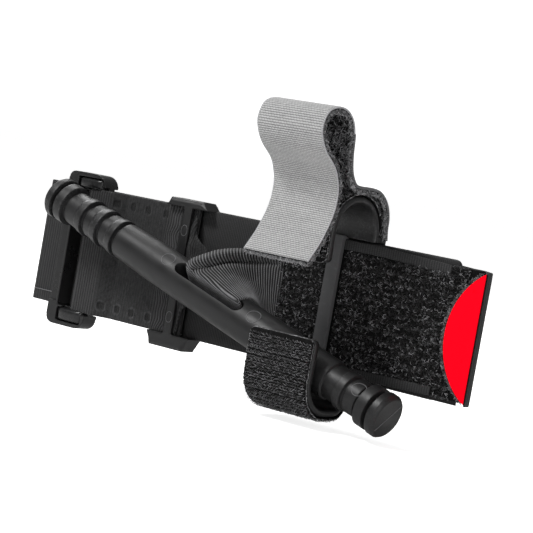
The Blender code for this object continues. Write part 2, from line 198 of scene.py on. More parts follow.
def grid_normals(grid):
    return unit(np.cross(np.gradient(grid, axis=0), np.gradient(grid, axis=1)))


def soft_noise(count_a, count_b, cells_a, cells_b):
    """Smooth random values from -1 to 1 on a grid."""
    coarse = rng.uniform(-1, 1, (cells_a + 3, cells_b + 3))
    rows = at_places(coarse, np.linspace(0, 1, count_a))
    return at_places(rows.T, np.linspace(0, 1, count_b)).T


# ---- Meshes --------------------------------------------------------------------------------------


def run_faces(index, closed=False):
    """Quads between neighbouring rings of points, with a cap on each end of an open run."""
    near = index if closed else index[:-1]
    far = np.roll(index, -1, 0) if closed else index[1:]
    walls = np.stack([near, np.roll(near, -1, 1), np.roll(far, -1, 1), far], -1).reshape(-1, 4).tolist()
    return walls if closed else walls + [index[0, ::-1].tolist(), index[-1].tolist()]


def sheet_faces(n, m):
    """Faces of a closed sheet, whose points are an n by m grid and then the grid of its other side."""
    index = np.arange(n * m).reshape(n, m)
    quads = np.stack([index[:-1, :-1], index[1:, :-1], index[1:, 1:], index[:-1, 1:]], -1).reshape(-1, 4)
    rim = np.concatenate([index[:-1, 0], index[-1, :-1], index[:0:-1, -1], index[0, :0:-1]])
    after = np.roll(rim, -1)
    border = np.stack([rim, rim + n * m, after + n * m, after], -1)
    return np.concatenate([quads, quads[:, ::-1] + n * m, border])


def add_mesh(name, vertices, faces, look, shade=None, uv=None, smooth=True):
    mesh = bpy.data.meshes.new(name)
    mesh.from_pydata(in_frame(vertices).tolist(), [], faces)
    if shade is not None:
        mesh.attributes.new("shade", "FLOAT", "POINT").data.foreach_set("value", np.ravel(shade))
    if uv is not None:
        corner = np.zeros(len(mesh.loops), int)
        mesh.loops.foreach_get("vertex_index", corner)
        mesh.uv_layers.new(name="cloth").data.foreach_set("uv", np.array(uv)[corner].ravel())
    if smooth:
        mesh.shade_smooth()
    mesh.materials.append(look)
    made = bpy.data.objects.new(name, mesh)
    bpy.context.scene.collection.objects.link(made)
    return made


def from_bmesh(name, made, look, smooth=False):
    bmesh.ops.recalc_face_normals(made, faces=made.faces)
    bmesh.ops.scale(made, vec=(MM, MM, MM), verts=made.verts)
    bmesh.ops.translate(made, vec=BAND_FRONT, verts=made.verts)
    mesh = bpy.data.meshes.new(name)
    made.to_mesh(mesh)
    made.free()
    if smooth:
        mesh.shade_smooth()
    mesh.materials.append(look)
    result = bpy.data.objects.new(name, mesh)
    bpy.context.scene.collection.objects.link(result)
    return result


def face_outward(target):
    """Turns a closed mesh's faces so that they all face out."""
    made = bmesh.new()
    made.from_mesh(target.data)
    bmesh.ops.recalc_face_normals(made, faces=made.faces)
    made.to_mesh(target.data)
    made.free()
    return target


def cloth(name, grid, thickness, look, front=0.0, back=0.0, shade=0.5):
    """A closed sheet round a grid of middle points. front and back raise its two faces."""
    n, m = grid.shape[:2]
    normal = grid_normals(grid)
    from_edge = np.linalg.norm(np.diff(grid, axis=1), axis=2).cumsum(axis=1)
    from_edge = np.concatenate([np.zeros((n, 1)), from_edge], 1)
    from_edge = np.minimum(from_edge, from_edge[:, -1:] - from_edge)
    share = np.clip(from_edge / (thickness / 2), 0, 1)
    half = thickness / 2 * np.maximum(np.sqrt(1 - (1 - share) ** 2), 0.12)
    calm = np.clip(from_edge / thickness, 0, 1)
    front, back = np.broadcast_to(front, (n, m)) * calm, np.broadcast_to(back, (n, m)) * calm
    outer = grid + normal * (half + front)[..., None]
    inner = grid - normal * (half + back)[..., None]
    run = run_length(grid[:, m // 2])
    width = run_length(grid[n // 2])
    uv = np.stack(np.broadcast_arrays(run[:, None], width[None, :]), -1).reshape(-1, 2)
    shades = np.broadcast_to(shade, (n, m)).ravel()
    sheet = add_mesh(
        name, np.concatenate([outer.reshape(-1, 3), inner.reshape(-1, 3)]), sheet_faces(n, m).tolist(), look,
        np.concatenate([shades, shades]), np.concatenate([uv, uv]),
    )
    return face_outward(sheet)


def ribs(run, pitch, sharp=1.0):
    """Heights from 0 to 1 of rounded ribs along a run, with slightly uneven spacing."""
    wobble = 0.12 * np.sin(run / (pitch * 7.3)) + 0.08 * np.sin(run / (pitch * 2.9) + 1)
    return (0.5 + 0.5 * np.cos(2 * math.pi * (run / pitch + wobble))) ** sharp


LOOP = [(-0.5, -0.15), (-0.42, 0.55), (0, 1.0), (0.42, 0.55), (0.5, -0.15)]
HOOK = [(-0.25, -0.1), (-0.22, 0.6), (0.1, 1.0), (0.45, 0.85), (0.6, 0.5)]


def drawn(values, count):
    """Random values between two bounds, or the given values as they are."""
    return rng.uniform(*values, count) if isinstance(values, tuple) else values


def fibres(name, root, side, up, span, height, radius, look, shade, shape=LOOP):
    """Many thin arched threads in one mesh. shape gives each point's share of span and height."""
    count, steps = len(root), len(shape)
    span, height, shade = (drawn(values, count) for values in (span, height, shade))
    across = unit(np.cross(side, up))
    points = np.stack(
        [root + side * (span * s)[:, None] + up * (height * u)[:, None] for s, u in shape], 1
    )
    tangent = unit(np.gradient(points, axis=1))
    other = unit(np.cross(tangent, across[:, None, :]))
    ring = []
    for angle in (0, 2 * math.pi / 3, 4 * math.pi / 3):
        ring.append(points + radius * (across[:, None, :] * math.cos(angle) + other * math.sin(angle)))
    vertices = np.stack(ring, 2).reshape(-1, 3)
    index = np.arange(count * steps * 3).reshape(count, steps, 3)
    near, far = index[:, :-1], index[:, 1:]
    walls = np.stack([near, np.roll(near, -1, 2), np.roll(far, -1, 2), far], -1).reshape(-1, 4)
    caps = np.concatenate([index[:, 0, ::-1], index[:, -1]])
    faces = walls.tolist() + caps.tolist()
    return add_mesh(name, vertices, faces, look, np.repeat(shade, steps * 3))


def random_spots(grid, count):
    """Random points on a grid's surface, each with a normal and a direction along the surface."""
    n, m = grid.shape[:2]
    a, b = rng.uniform(0, n - 1.001, count), rng.uniform(0, m - 1.001, count)
    i, j = a.astype(int), b.astype(int)
    s, t = (a - i)[:, None], (b - j)[:, None]
    spot = (
        grid[i, j] * (1 - s) * (1 - t) + grid[i + 1, j] * s * (1 - t)
        + grid[i, j + 1] * (1 - s) * t + grid[i + 1, j + 1] * s * t
    )
    return spot, grid_normals(grid)[i, j], unit(grid[i + 1, j] - grid[i, j])


def turned_about(normal, along, angle):
    """Directions on the surface, at these angles from the given ones."""
    other = np.cross(normal, along)
    return along * np.cos(angle)[:, None] + other * np.sin(angle)[:, None]


# ---- Materials -----------------------------------------------------------------------------------


class Look:
    """A Principled material, with short ways to add nodes to it."""

    def __init__(self, name, **inputs):
        self.material = bpy.data.materials.new(name)
        self.material.use_nodes = True
        self.tree = self.material.node_tree
        self.shader = self.tree.nodes["Principled BSDF"]
        self.feed(self.shader, {key.replace("_", " "): value for key, value in inputs.items()})
        self.place = self.node("ShaderNodeTexCoord").outputs["Object"]

    def feed(self, node, inputs):
        for name, value in inputs.items():
            if isinstance(value, bpy.types.NodeSocket):
                self.tree.links.new(value, node.inputs[name])
            else:
                node.inputs[name].default_value = value

    def node(self, kind, inputs=None, **settings):
        made = self.tree.nodes.new(kind)
        for key, value in settings.items():
            setattr(made, key, value)
        self.feed(made, inputs or {})
        return made

    def noise(self, size, detail=2.0, stretch=(1, 1, 1)):
        """Noise with features about this many millimetres across."""
        scale = [1 / (size * MM * s) for s in stretch]
        scaled = self.node("ShaderNodeMapping", {"Vector": self.place, "Scale": scale})
        inputs = {"Vector": scaled.outputs[0], "Scale": 1.0, "Detail": detail}
        return self.node("ShaderNodeTexNoise", inputs).outputs[0]

    def level(self, value, low, high, to_low=0.0, to_high=1.0):
        inputs = {"Value": value, "From Min": low, "From Max": high, "To Min": to_low, "To Max": to_high}
        return self.node("ShaderNodeMapRange", inputs).outputs[0]

    def maths(self, operation, first, second=0.0):
        made = self.node("ShaderNodeMath", operation=operation)
        self.feed(made, {0: first, 1: second})
        return made.outputs[0]

    def mix(self, factor, first, second):
        made = self.node("ShaderNodeMix", data_type="RGBA")
        for socket, value in ((0, factor), (6, first), (7, second)):
            if isinstance(value, bpy.types.NodeSocket):
                self.tree.links.new(value, made.inputs[socket])
            else:
                made.inputs[socket].default_value = value
        return made.outputs[2]

    def bump(self, height, distance, strength=1.0, normal=None):
        inputs = {"Height": height, "Distance": distance * MM, "Strength": strength}
        if normal is not None:
            inputs["Normal"] = normal
        return self.node("ShaderNodeBump", inputs).outputs[0]

    def attribute(self, name):
        return self.node("ShaderNodeAttribute", attribute_name=name).outputs["Fac"]

    def cloth_place(self):
        """Millimetres along and across a cloth, from its UV map."""
        uv = self.node("ShaderNodeUVMap", uv_map="cloth")
        split = self.node("ShaderNodeSeparateXYZ", {0: uv.outputs[0]})
        return split.outputs[0], split.outputs[1]

    def wave(self, place, pitch, shift=0.0):
        """From 0 to 1, once each pitch."""
        turn = self.maths("ADD", self.maths("MULTIPLY", place, 2 * math.pi / pitch), shift)
        return self.maths("ADD", self.maths("MULTIPLY", self.maths("SINE", turn), 0.5), 0.5)

    def done(self, **outputs):
        self.feed(self.shader, {key.replace("_", " "): value for key, value in outputs.items()})
        return self.material


def grey(value, tint=(1.0, 1.0, 1.03)):
    return (value * tint[0], value * tint[1], value * tint[2], 1.0)


def plastic(name, value, roughness, mottle=0.25, grain=0.25):
    """Moulded nylon: fine grain, cloudy gloss, faint scuffs, and pale speckles where "shade" is high:
    speckled wear, which on the rod's rims is also a painted highlight.
    """
    look = Look(name, Specular_IOR_Level=0.42)
    cloud = look.noise(5.0, 3.0)
    fine = look.noise(grain, 2.0)
    scuff = look.level(look.noise(0.9, 4.0, stretch=(4, 1, 1)), 0.60, 0.75)
    speckle = look.level(look.noise(0.5, 4.0), 0.46, 0.66)
    patch = look.level(look.noise(3.0, 2.0), 0.42, 0.6, 0.25, 1.0)
    # Pale speckles: wear, and on the rod's rims a painted highlight as well.
    wear_and_highlight = look.maths("MULTIPLY", look.attribute("shade"), look.maths("MULTIPLY", speckle, patch))
    body = look.mix(cloud, grey(value * (1 - mottle)), grey(value * (1 + mottle)))
    body = look.mix(look.maths("MULTIPLY", scuff, 0.3), body, grey(value * 1.8))
    body = look.mix(wear_and_highlight, body, grey(value * 4.5))
    clouded = look.maths("ADD", cloud, look.maths("MULTIPLY", fine, 0.4))
    gloss = look.level(clouded, 0.4, 1.0, roughness - 0.08, roughness + 0.12)
    return look.done(Base_Color=body, Roughness=gloss, Normal=look.bump(fine, 0.03, 0.5))


def webbing(name, dark, light, cross_pitch=0.36, hairs=0.3):
    """Ribbed nylon webbing crossed by fine threads, with a painted highlight on the rib crests and painted
    shade between them, both from the mesh's own relief.
    """
    look = Look(name, Specular_IOR_Level=0.35, Sheen_Weight=0.15, Sheen_Roughness=0.5)
    thread = look.wave(look.cloth_place()[1], cross_pitch)
    uneven = look.noise(2.5, 3.0)
    hair = look.level(look.noise(0.16, 3.0, stretch=(1, 1, 2.5)), 0.45, 0.75)
    crossed = look.maths("ADD", look.maths("MULTIPLY", thread, 0.35), 0.65)
    # Painted highlight where the rib height ("shade") is high, painted shade in the hollows between ribs.
    crest = look.maths("MULTIPLY", look.attribute("shade"), crossed)
    crest = look.maths("MULTIPLY", crest, look.level(uneven, 0.3, 0.7, 0.7, 1.15))
    body = look.mix(crest, grey(dark), grey(light))
    body = look.mix(look.maths("MULTIPLY", hair, hairs), body, grey(light * 1.1))
    bumps = look.bump(thread, 0.05, 0.6, look.bump(hair, 0.05, 0.5))
    return look.done(Base_Color=body, Roughness=look.level(uneven, 0.3, 0.7, 0.68, 0.9), Normal=bumps)


def shaded_threads(name, dark, light, power, roughness=0.6):
    """Single threads, each with its own shade from dark to light."""
    look = Look(name, Specular_IOR_Level=0.4, Sheen_Weight=0.1)
    own = look.maths("POWER", look.attribute("shade"), power)
    mottled = look.maths("MULTIPLY", own, look.level(look.noise(0.6, 2.0), 0.3, 0.7, 0.6, 1.2))
    return look.done(Base_Color=look.mix(mottled, grey(dark), grey(light)), Roughness=roughness)


def napped(name, dark, light, size):
    """The dense ground of a pile, dark between its loops."""
    look = Look(name, Specular_IOR_Level=0.2, Roughness=0.95)
    tufts = look.noise(size, 4.0)
    curls = look.noise(size * 0.45, 3.0)
    lit = look.level(look.maths("MULTIPLY", tufts, curls), 0.26, 0.42)
    bumps = look.bump(tufts, 0.4, 1.0, look.bump(curls, 0.2, 1.0))
    return look.done(Base_Color=look.mix(lit, grey(dark), grey(light)), Normal=bumps)


def woven_grey(name, dark, light):
    """The time strap's face: pale stitches, with the darker ground showing between the mesh's own rows."""
    look = Look(name, Specular_IOR_Level=0.2, Sheen_Weight=0.2, Roughness=0.85)
    uneven = look.noise(0.7, 4.0)
    pale = look.level(look.attribute("shade"), 0.05, 0.62)
    pale = look.maths("MULTIPLY", pale, look.level(uneven, 0.3, 0.6, 0.72, 1.0))
    faded = look.mix(look.noise(6.0, 3.0), grey(light * 0.92, (1, 1, 1)), grey(light * 1.08, (1, 1, 1)))
    body = look.mix(pale, grey(dark, (1, 1, 1)), faded)
    return look.done(Base_Color=body, Normal=look.bump(uneven, 0.08, 0.6))


def red_cloth(name):
    """Smooth red binding cloth with a barely visible fine weave. A faint glow keeps its red full."""
    look = Look(name, Specular_IOR_Level=0.05, Roughness=0.85)
    run, width = look.cloth_place()
    weave = look.maths("MULTIPLY", look.wave(run, 0.5), look.wave(width, 0.5))
    body = look.mix(weave, (0.90, 0.0002, 0.009, 1.0), (0.80, 0.0002, 0.007, 1.0))
    glow = {"Emission_Color": (1.0, 0.0, 0.012, 1.0), "Emission_Strength": 0.35}
    return look.done(Base_Color=body, Normal=look.bump(weave, 0.04, 0.3), **glow)


def plain(name, value, roughness=0.7):
    look = Look(name, Roughness=roughness)
    body = look.mix(look.noise(0.5, 3.0), grey(value * 0.8), grey(value * 1.2))
    return look.done(Base_Color=body)


ROD_LOOK = plastic("rod_nylon", 0.012, 0.44)
FRAME_LOOK = plastic("frame_nylon", 0.015, 0.42)
BUCKLE_LOOK = plastic("buckle_nylon", 0.012, 0.30)
PAD_LOOK = plastic("buckle_pad_nylon", 0.018, 0.26, mottle=0.4)
# The clip's bar: the same nylon as the horns, made much lighter as painted light where it faces the light,
# and rougher.
LIT_BAR_LOOK = plastic("clip_bar_lit_nylon", 0.072, 0.66, mottle=0.12)
# Pin marks and seams: thin beads in pale grey, a painted highlight on the marks' raised edges.
MARK_HIGHLIGHT_LOOK = plain("mould_mark_highlight", 0.15)
BAND_LOOK = webbing("band_webbing", 0.005, 0.085)
STRAP_LOOK = webbing("inner_strap_webbing", 0.002, 0.30, hairs=0.05)
# The rear of the inner strap: the same webbing as its front, much darker as painted shade behind the rod.
SHADED_STRAP_LOOK = webbing("inner_strap_shaded_webbing", 0.002, 0.04, 0.8)
SHEATH_LOOK = webbing("sheath_webbing", 0.007, 0.042, 0.5)
STOWED_LOOK = webbing("stowed_webbing", 0.006, 0.040)
PILE_GROUND = napped("pile_ground", 0.002, 0.009, 0.9)
PILE_THREADS = shaded_threads("pile_threads", 0.003, 0.55, 2.8)
HOOK_GROUND = napped("hook_ground", 0.004, 0.012, 0.8)
HOOK_THREADS = shaded_threads("hook_threads", 0.015, 0.42, 1.8, 0.4)
STRAP_FACE = woven_grey("time_strap_face", 0.11, 0.56)
LOOP_THREADS = shaded_threads("loop_threads", 0.02, 0.50, 1.6)
LOOP_GROUND = napped("loop_ground", 0.01, 0.10, 0.8)
RED_LOOK = red_cloth("red_cloth")
PALE_THREAD = plain("pale_thread", 0.20)
SELVAGE_LOOK = webbing("time_strap_selvage", 0.06, 0.24)
EDGE_LOOK = webbing("time_strap_edge", 0.34, 0.60)


# ---- Windlass rod --------------------------------------------------------------------------------

ROD_LENGTH = 138.6
ROD_TILT = math.radians(16.8)
ROD_CENTRE = joint_place("windlass_turn")
ROD_AXIS = np.array([math.cos(ROD_TILT), 0, -math.sin(ROD_TILT)])
ROD_UP = np.array([math.sin(ROD_TILT), 0, math.cos(ROD_TILT)])
SLOT_OUT = unit(ROD_UP + np.array([0, -1, 0]))
SLOT_HALF_LENGTH, SLOT_HALF_HEIGHT = 13.3, 1.8
BODY_RADIUS = 5.9
ROD_SEGMENTS = 144
# Each mark's distance along the rod, distance above its middle line, and the rod's radius there.
ROD_PIN_MARKS = ((-17.3, 4.4, 5.87), (18.6, 4.3, 5.9), (59.5, 3.6, 5.1))
PIN_RADIUS = 2.1


def rod_end(neck):
    """Distances from the rod's end with radii: a cap, a groove, a ring and a neck of this length."""
    cap = [(0, 0.01), (0, 5.4), (0.35, 5.9), (1.1, 6.4), (3.0, 6.4), (3.2, 4.7), (4.3, 4.7)]
    return cap + [(4.5, 6.2), (7.6, 6.2), (7.8, 4.7), (8.6, 4.7), (8.8, 5.1), (8.8 + neck, 5.15)]


def grip(start):
    """A grip that widens from a barrel to a mottled ring and ends in a deep groove."""
    return [
        (start + 2.6, 5.3), (start + 3.3, 5.6), (start + 5.5, 5.85), (start + 5.65, 4.6), (start + 6.75, 4.6)
    ]


def rod_profile():
    left = rod_end(1.6) + grip(10.7)
    for start in (17.6, 24.5):
        left += [(start, 5.2)] + grip(start)
    left += [(31.4, 5.5), (45.0, BODY_RADIUS)]
    right = rod_end(3.6) + [(12.6, 4.7), (13.4, 4.7), (13.6, 5.6), (16.1, 5.6), (16.3, 5.1), (20.4, 5.1)]
    right += [(20.6, 5.65), (22.2, 5.8), (45.0, BODY_RADIUS)]
    middle = ROD_LENGTH / 2
    return [(s - middle, r) for s, r in left] + [(middle - s, r) for s, r in reversed(right)]


def rim_wear_and_highlight(profile):
    """Speckled wear and a painted highlight: 1 just beside each sharp drop of the profile, fading over about
    1 mm, and less on the far end.
    """
    wear_and_highlight = np.zeros(len(profile))
    radius = profile[:, 1]
    for i in range(1, len(profile) - 1):
        if min(radius[i - 1], radius[i + 1]) < radius[i] - 0.12 and radius[i] > 5.4:
            wear_and_highlight = np.maximum(wear_and_highlight, np.clip(1 - np.abs(profile[:, 0] - profile[i, 0]) / 1.4, 0, 1))
    return wear_and_highlight * (radius > 5.2) * np.where(profile[:, 0] > 0, 0.35, 1.0)


def dense_profile(profile, rounding=0.16, pitch=0.45):
    """The profile with its corners rounded and long stretches divided."""
    inner = profile[1:-1]
    limits = [
        0.45 * min(math.dist(a, b), math.dist(b, c)) for a, b, c in zip(profile, inner, profile[2:])
    ]
    path = rounded(profile, [min(rounding, limit) for limit in limits], 4)
    dense = [path[0]]
    for a, b in zip(path, path[1:]):
        steps = max(int(math.dist(a, b) / pitch), 1)
        dense += [a + (b - a) * (k + 1) / steps for k in range(steps)]
    return np.array(dense)


def lathe(profile, segments):
    """Vertices and faces of a solid of revolution about the rod's axis."""
    angles = np.arange(segments) * 2 * math.pi / segments
    side = np.cross(ROD_AXIS, [0, 1, 0])
    round_about = np.cos(angles)[:, None] * side + np.sin(angles)[:, None] * np.cross(ROD_AXIS, side)
    rings = (
        ROD_CENTRE + profile[:, :1, None].transpose(0, 2, 1) * ROD_AXIS
        + profile[:, 1][:, None, None] * round_about
    )
    return rings.reshape(-1, 3), run_faces(np.arange(len(profile) * segments).reshape(-1, segments))


def slot_cutter():
    """The slot's prism, wider at both mouths so that its lips are chamfered."""
    across = np.cross(ROD_AXIS, SLOT_OUT)
    levels = [(-8, 1.2), (-6.2, 0.62), (-5.1, 0), (5.1, 0), (6.2, 0.62), (8, 1.2)]
    vertices = []
    for depth, grow in levels:
        height = SLOT_HALF_HEIGHT + grow
        reach = SLOT_HALF_LENGTH - SLOT_HALF_HEIGHT
        for side, first in ((1, -math.pi / 2), (-1, math.pi / 2)):
            for angle in np.linspace(first, first + math.pi, 17):
                u, v = side * reach + height * math.cos(angle), height * math.sin(angle)
                vertices.append(ROD_CENTRE + ROD_AXIS * u + across * v + SLOT_OUT * depth)
    return vertices, run_faces(np.arange(len(vertices)).reshape(len(levels), -1))


def apply_modifiers(target):
    """Replaces an object's mesh by its evaluated one and removes the modifiers."""
    bpy.context.view_layer.update()
    evaluated = target.evaluated_get(bpy.context.evaluated_depsgraph_get())
    mesh = bpy.data.meshes.new_from_object(evaluated)
    target.modifiers.clear()
    target.data = mesh
    return target


def cut(target, cutter):
    face_outward(target)
    face_outward(cutter)
    step = target.modifiers.new("cut", "BOOLEAN")
    step.operation, step.solver, step.object = "DIFFERENCE", "EXACT", cutter
    apply_modifiers(target)
    bpy.data.objects.remove(cutter)


def on_rod(along, angle, radius):
    """A point at a distance along the rod and an angle from its front towards its upper side."""
    out = math.cos(angle) * np.array([0, -1, 0]) + math.sin(angle) * ROD_UP
    return ROD_CENTRE + ROD_AXIS * along + out * radius


def tube(name, points, radius, look, closed=False, sides=6, shade=1.0):
    """A thin round bead along points."""
    points = np.array(points)
    if closed:
        tangent = unit(np.roll(points, -1, 0) - np.roll(points, 1, 0))
    else:
        tangent = unit(np.gradient(points, axis=0))
    helper = unit(np.cross(tangent, [0.31, 0.87, 0.38]))
    other = np.cross(tangent, helper)
    angles = np.arange(sides) * 2 * math.pi / sides
    rings = points[:, None] + radius * (
        helper[:, None] * np.cos(angles)[None, :, None] + other[:, None] * np.sin(angles)[None, :, None]
    )
    count = len(points) * sides
    faces = run_faces(np.arange(count).reshape(-1, sides), closed)
    return add_mesh(name, rings.reshape(-1, 3), faces, look, np.broadcast_to(shade, count))


def windlass_rod():
    """The slotted rod, with the round marks of the mould's pins and its seam on one end."""
    profile = dense_profile(rod_profile())
    vertices, faces = lathe(profile, ROD_SEGMENTS)
    rod = add_mesh("rod", vertices, faces, ROD_LOOK, np.repeat(rim_wear_and_highlight(profile), ROD_SEGMENTS))
    cut(rod, add_mesh("slot_cutter", *slot_cutter(), ROD_LOOK, smooth=False))
    rod.data.set_sharp_from_angle(angle=math.radians(38))
    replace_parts(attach(rod, "windlass"), "windlass_rod")
    for number, (along, across, radius) in enumerate(ROD_PIN_MARKS):
        middle = math.asin(min(across / radius, 0.98)) * 0.93
        circle = []
        for turn in np.linspace(0, 2 * math.pi, 40, endpoint=False):
            angle = middle + PIN_RADIUS * math.sin(turn) / radius
            circle.append(on_rod(along + PIN_RADIUS * math.cos(turn), angle, radius + 0.005))
        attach(tube(f"rod_pin_mark_{number + 1}", circle, 0.10, MARK_HIGHLIGHT_LOOK, closed=True), "windlass")
    seam = unit(ROD_UP - np.array([0, -1, 0]))
    end = ROD_CENTRE + ROD_AXIS * (ROD_LENGTH / 2 + 0.01)
    line = [end + seam * t for t in np.linspace(-5.4, 5.4, 12)]
    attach(tube("rod_seam_end", line, 0.09, MARK_HIGHLIGHT_LOOK), "windlass")


# ---- Moulded frame pieces ------------------------------------------------------------------------


def prism(outline, place, low, high):
    made = bmesh.new()
    bottom = made.faces.new([made.verts.new(place(u, v, low)) for u, v in outline])
    grown = bmesh.ops.extrude_face_region(made, geom=[bottom])
    shift = Vector(place(0, 0, high)) - Vector(place(0, 0, low))
    moved = [v for v in grown["geom"] if isinstance(v, bmesh.types.BMVert)]
    bmesh.ops.translate(made, vec=shift, verts=moved)
    return made


def facing_out(u, v, w):
    return u, w, v


def box(low, high):
    made = bmesh.new()
    size = [b - a for a, b in zip(low, high)]
    centre = [(a + b) / 2 for a, b in zip(low, high)]
    bmesh.ops.create_cube(made, size=1, matrix=Matrix.Translation(centre) @ Matrix.Diagonal((*size, 1)))
    return made


def rounded_rectangle(left, right, low, high, radii):
    """Corners in the order low right, high right, high left, low left."""
    middle = ((left + right) / 2, low)
    corners = [(right, low), (right, high), (left, high), (left, low)]
    return rounded([middle, *corners, middle], radii, 8)[:-1]


def moulded(name, solids, cuts, look, voxel, smoothing):
    """Overlapping solids grown into one body with soft edges, as a mould leaves them."""
    body = from_bmesh(name, solids[0], look)
    for number, solid in enumerate(solids[1:]):
        other = from_bmesh(f"{name}_{number}", solid, look)
        step = body.modifiers.new("join", "BOOLEAN")
        step.operation, step.solver, step.object = "UNION", "EXACT", other
        apply_modifiers(body)
        bpy.data.objects.remove(other)
    for number, solid in enumerate(cuts):
        cut(body, from_bmesh(f"{name}_cut_{number}", solid, look))
    remesh = body.modifiers.new("remesh", "REMESH")
    remesh.mode, remesh.voxel_size, remesh.use_smooth_shade = "VOXEL", voxel * MM, True
    smooth = body.modifiers.new("smooth", "SMOOTH")
    smooth.factor, smooth.iterations = 0.5, smoothing
    return apply_modifiers(body)


def pad(left, right, inner, edge, front, back, rise):
    """A smooth pillow that fills a pocket in the buckle's end, domed towards the front and the back."""
    count = 28
    u, v = np.linspace(-1, 1, count)[:, None], np.linspace(-1, 1, count)[None, :]
    x = (left + right) / 2 + (right - left) / 2 * u + 0 * v
    z = (inner + edge) / 2 + (edge - inner) / 2 * v + 0 * u
    dome = np.sqrt(np.clip((1 - np.abs(u) ** 3.5) * (1 - np.abs(v) ** 3.5), 0, 1))
    rows = []
    for level, way in ((front, -1), (back, 1)):
        rows.append(np.stack([x, level - way * 1.3 + way * (1.3 + rise) * dome, z], -1))
    faces = sheet_faces(count, count)
    if (edge - inner) * (right - left) < 0:
        faces = faces[:, ::-1]
    return np.concatenate(rows).reshape(-1, 3), faces.tolist()


FREE_BAR, BUCKLE_INNER = 3.9, 19.65


def buckle():
    """The frame, its relieved free bar, and a smooth raised pad at each end of the broad bar."""
    (left, front, low), (right, back, high) = node_box("buckle")
    bar_right, inner = left + FREE_BAR, BUCKLE_INNER
    broad_left = joint_place("buckle_swing")[0] - 2.6
    outline = rounded_rectangle(left, right, low, high, [3.6, 4.2, 2.2, 2.6])
    frame_body = prism(outline, facing_out, front, back)
    solids, cuts = [frame_body], [
        box((bar_right, -9, -18.2), (broad_left - 0.9, 9, 18.2)),
        box((bar_right + 2, -9, -inner), (right + 5, -1.2, inner)),
        box((bar_right + 2, 1.2, -inner), (right + 5, 9, inner)),
        box((broad_left - 0.9, -9, -inner), (broad_left, 9, inner)),
        box((left - 2, front - 1, -17.2), (bar_right - 0.7, front + 0.8, 17.2)),
    ]
    for side, edge, word in ((1, high, "upper"), (-1, low, "lower")):
        ends = sorted(((inner - 1) * side, edge - 1.2 * side))
        pocket = rounded_rectangle(bar_right + 0.1, right - 1.5, *ends, [0.7] * 4)
        cuts.append(prism(pocket, facing_out, front - 1, front + 2.0))
        cuts.append(prism(pocket, facing_out, back - 1.4, back + 1))
        near, far = (inner - 0.95) * side, edge - 1.4 * side
        shape = pad(bar_right + 0.35, right - 1.75, near, far, front, back, 0.35)
        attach(add_mesh(f"buckle_pad_{word}", *shape, PAD_LOOK), "buckle")
    made = moulded("buckle_frame", solids, cuts, BUCKLE_LOOK, 0.2, 3)
    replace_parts(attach(made, "buckle"), "buckle")


def wing(left, right, inner, edge, chamfer, front, back):
    """One wing of the bridge, its outer border sloping back."""
    side = 1 if edge > 0 else -1
    outline = [(left, inner), (right, inner), (right - chamfer, edge), (left + chamfer / 2, edge)]
    made = bmesh.new()
    rows = []
    for y, shrink in ((front, 1.1), (front + 0.9, 0.0), (back, 0.0)):
        row = [
            (left, inner), (right, inner),
            (right - chamfer - shrink * 0.4, edge - shrink * side),
            (left + chamfer / 2 + shrink * 0.6, edge - shrink * side),
        ]
        rows.append([made.verts.new((x, y, z)) for x, z in row])
    made.faces.new(rows[0])
    made.faces.new(rows[-1])
    for near, far in zip(rows, rows[1:]):
        for i in range(len(outline)):
            j = (i + 1) % len(outline)
            made.faces.new((near[i], near[j], far[j], far[i]))
    return made


def plate():
    """The stiff plate, the bridge's two wings, and the bar between them with its two pin marks."""
    (left, front, low), (right, back, high) = node_box("base_plate")
    half = 19.25
    solids = [
        prism(rounded_rectangle(left, right, -half, half, [2, 2, 2, 2]), facing_out, back - 1.4, back),
        wing(-30.0, -13.6, 18.9, high, 2.4, front, back),
        wing(-29.3, -12.6, -18.9, low, 2.4, front, back),
        box((-30.0, back - 1.5, 18.0), (-15.0, back, 20.5)),
        box((-29.3, back - 1.5, -20.5), (-14.0, back, -18.0)),
        box((-22.7, front, -20.4), (-19.7, front + 1.6, 20.4)),
    ]
    made = moulded("stabiliser_plate", solids, [], FRAME_LOOK, 0.25, 3)
    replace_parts(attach(made, "band"), "base_plate")
    for number, (x, z) in enumerate(((-21.2, 12.1), (-21.2, -13.8))):
        turns = np.linspace(0, 2 * math.pi, 30, endpoint=False)
        ring = [(x + 1.15 * math.cos(t), front - 0.02, z + 1.6 * math.sin(t)) for t in turns]
        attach(tube(f"bridge_pin_mark_{number + 1}", ring, 0.08, MARK_HIGHLIGHT_LOOK, closed=True), "band")


CLIP_LEFT, CLIP_RIGHT = node_box("windlass_clip")[0][0], node_box("windlass_clip")[1][0]
CLIP_WALL = 2.0
HOOK_TAPE, TAPE_GAP, LOOP_STANDOFF, TIME_STRAP = 0.6, 0.3, 0.4, 1.4
HORN_TOP_Z = 30.4
HORN_BOTTOM_Z = -28.7
UPPER_HORN_H, LOWER_HORN_H = (-0.4, 19.8), (0.4, 18.4)
HORN_SIDE_Z, FOOT_HALF = 20.3, 0.8
# Each horn's side of the band, name, and the Z of its free end.
HORNS = ((1, "upper", 12.3), (-1, "lower", -8.7))
BAR_LEFT, BAR_RIGHT, BAR_FRONT = 31.7, 36.0, -2.2


def horn_path(side, end_z):
    """The middle line of one horn's wall in h and Z, from beside the band round to its free end."""
    if side > 0:
        back, front = UPPER_HORN_H
        corners, radii = [(back, HORN_TOP_Z), (front, HORN_TOP_Z)], [9.8, 10.0]
    else:
        back, front = LOWER_HORN_H
        corners, radii = [(back + 1.7, HORN_BOTTOM_Z), (front, HORN_BOTTOM_Z)], [4.0, 8.5]
    return rounded([(back, (HORN_SIDE_Z - FOOT_HALF) * side), *corners, (front, end_z)], radii)


def offset(path, distance):
    """The parallel polyline, to the left of a path in its own plane."""
    tangent = unit(np.gradient(np.array(path), axis=0))
    return np.array(path) + distance * np.stack([-tangent[:, 1], tangent[:, 0]], 1)


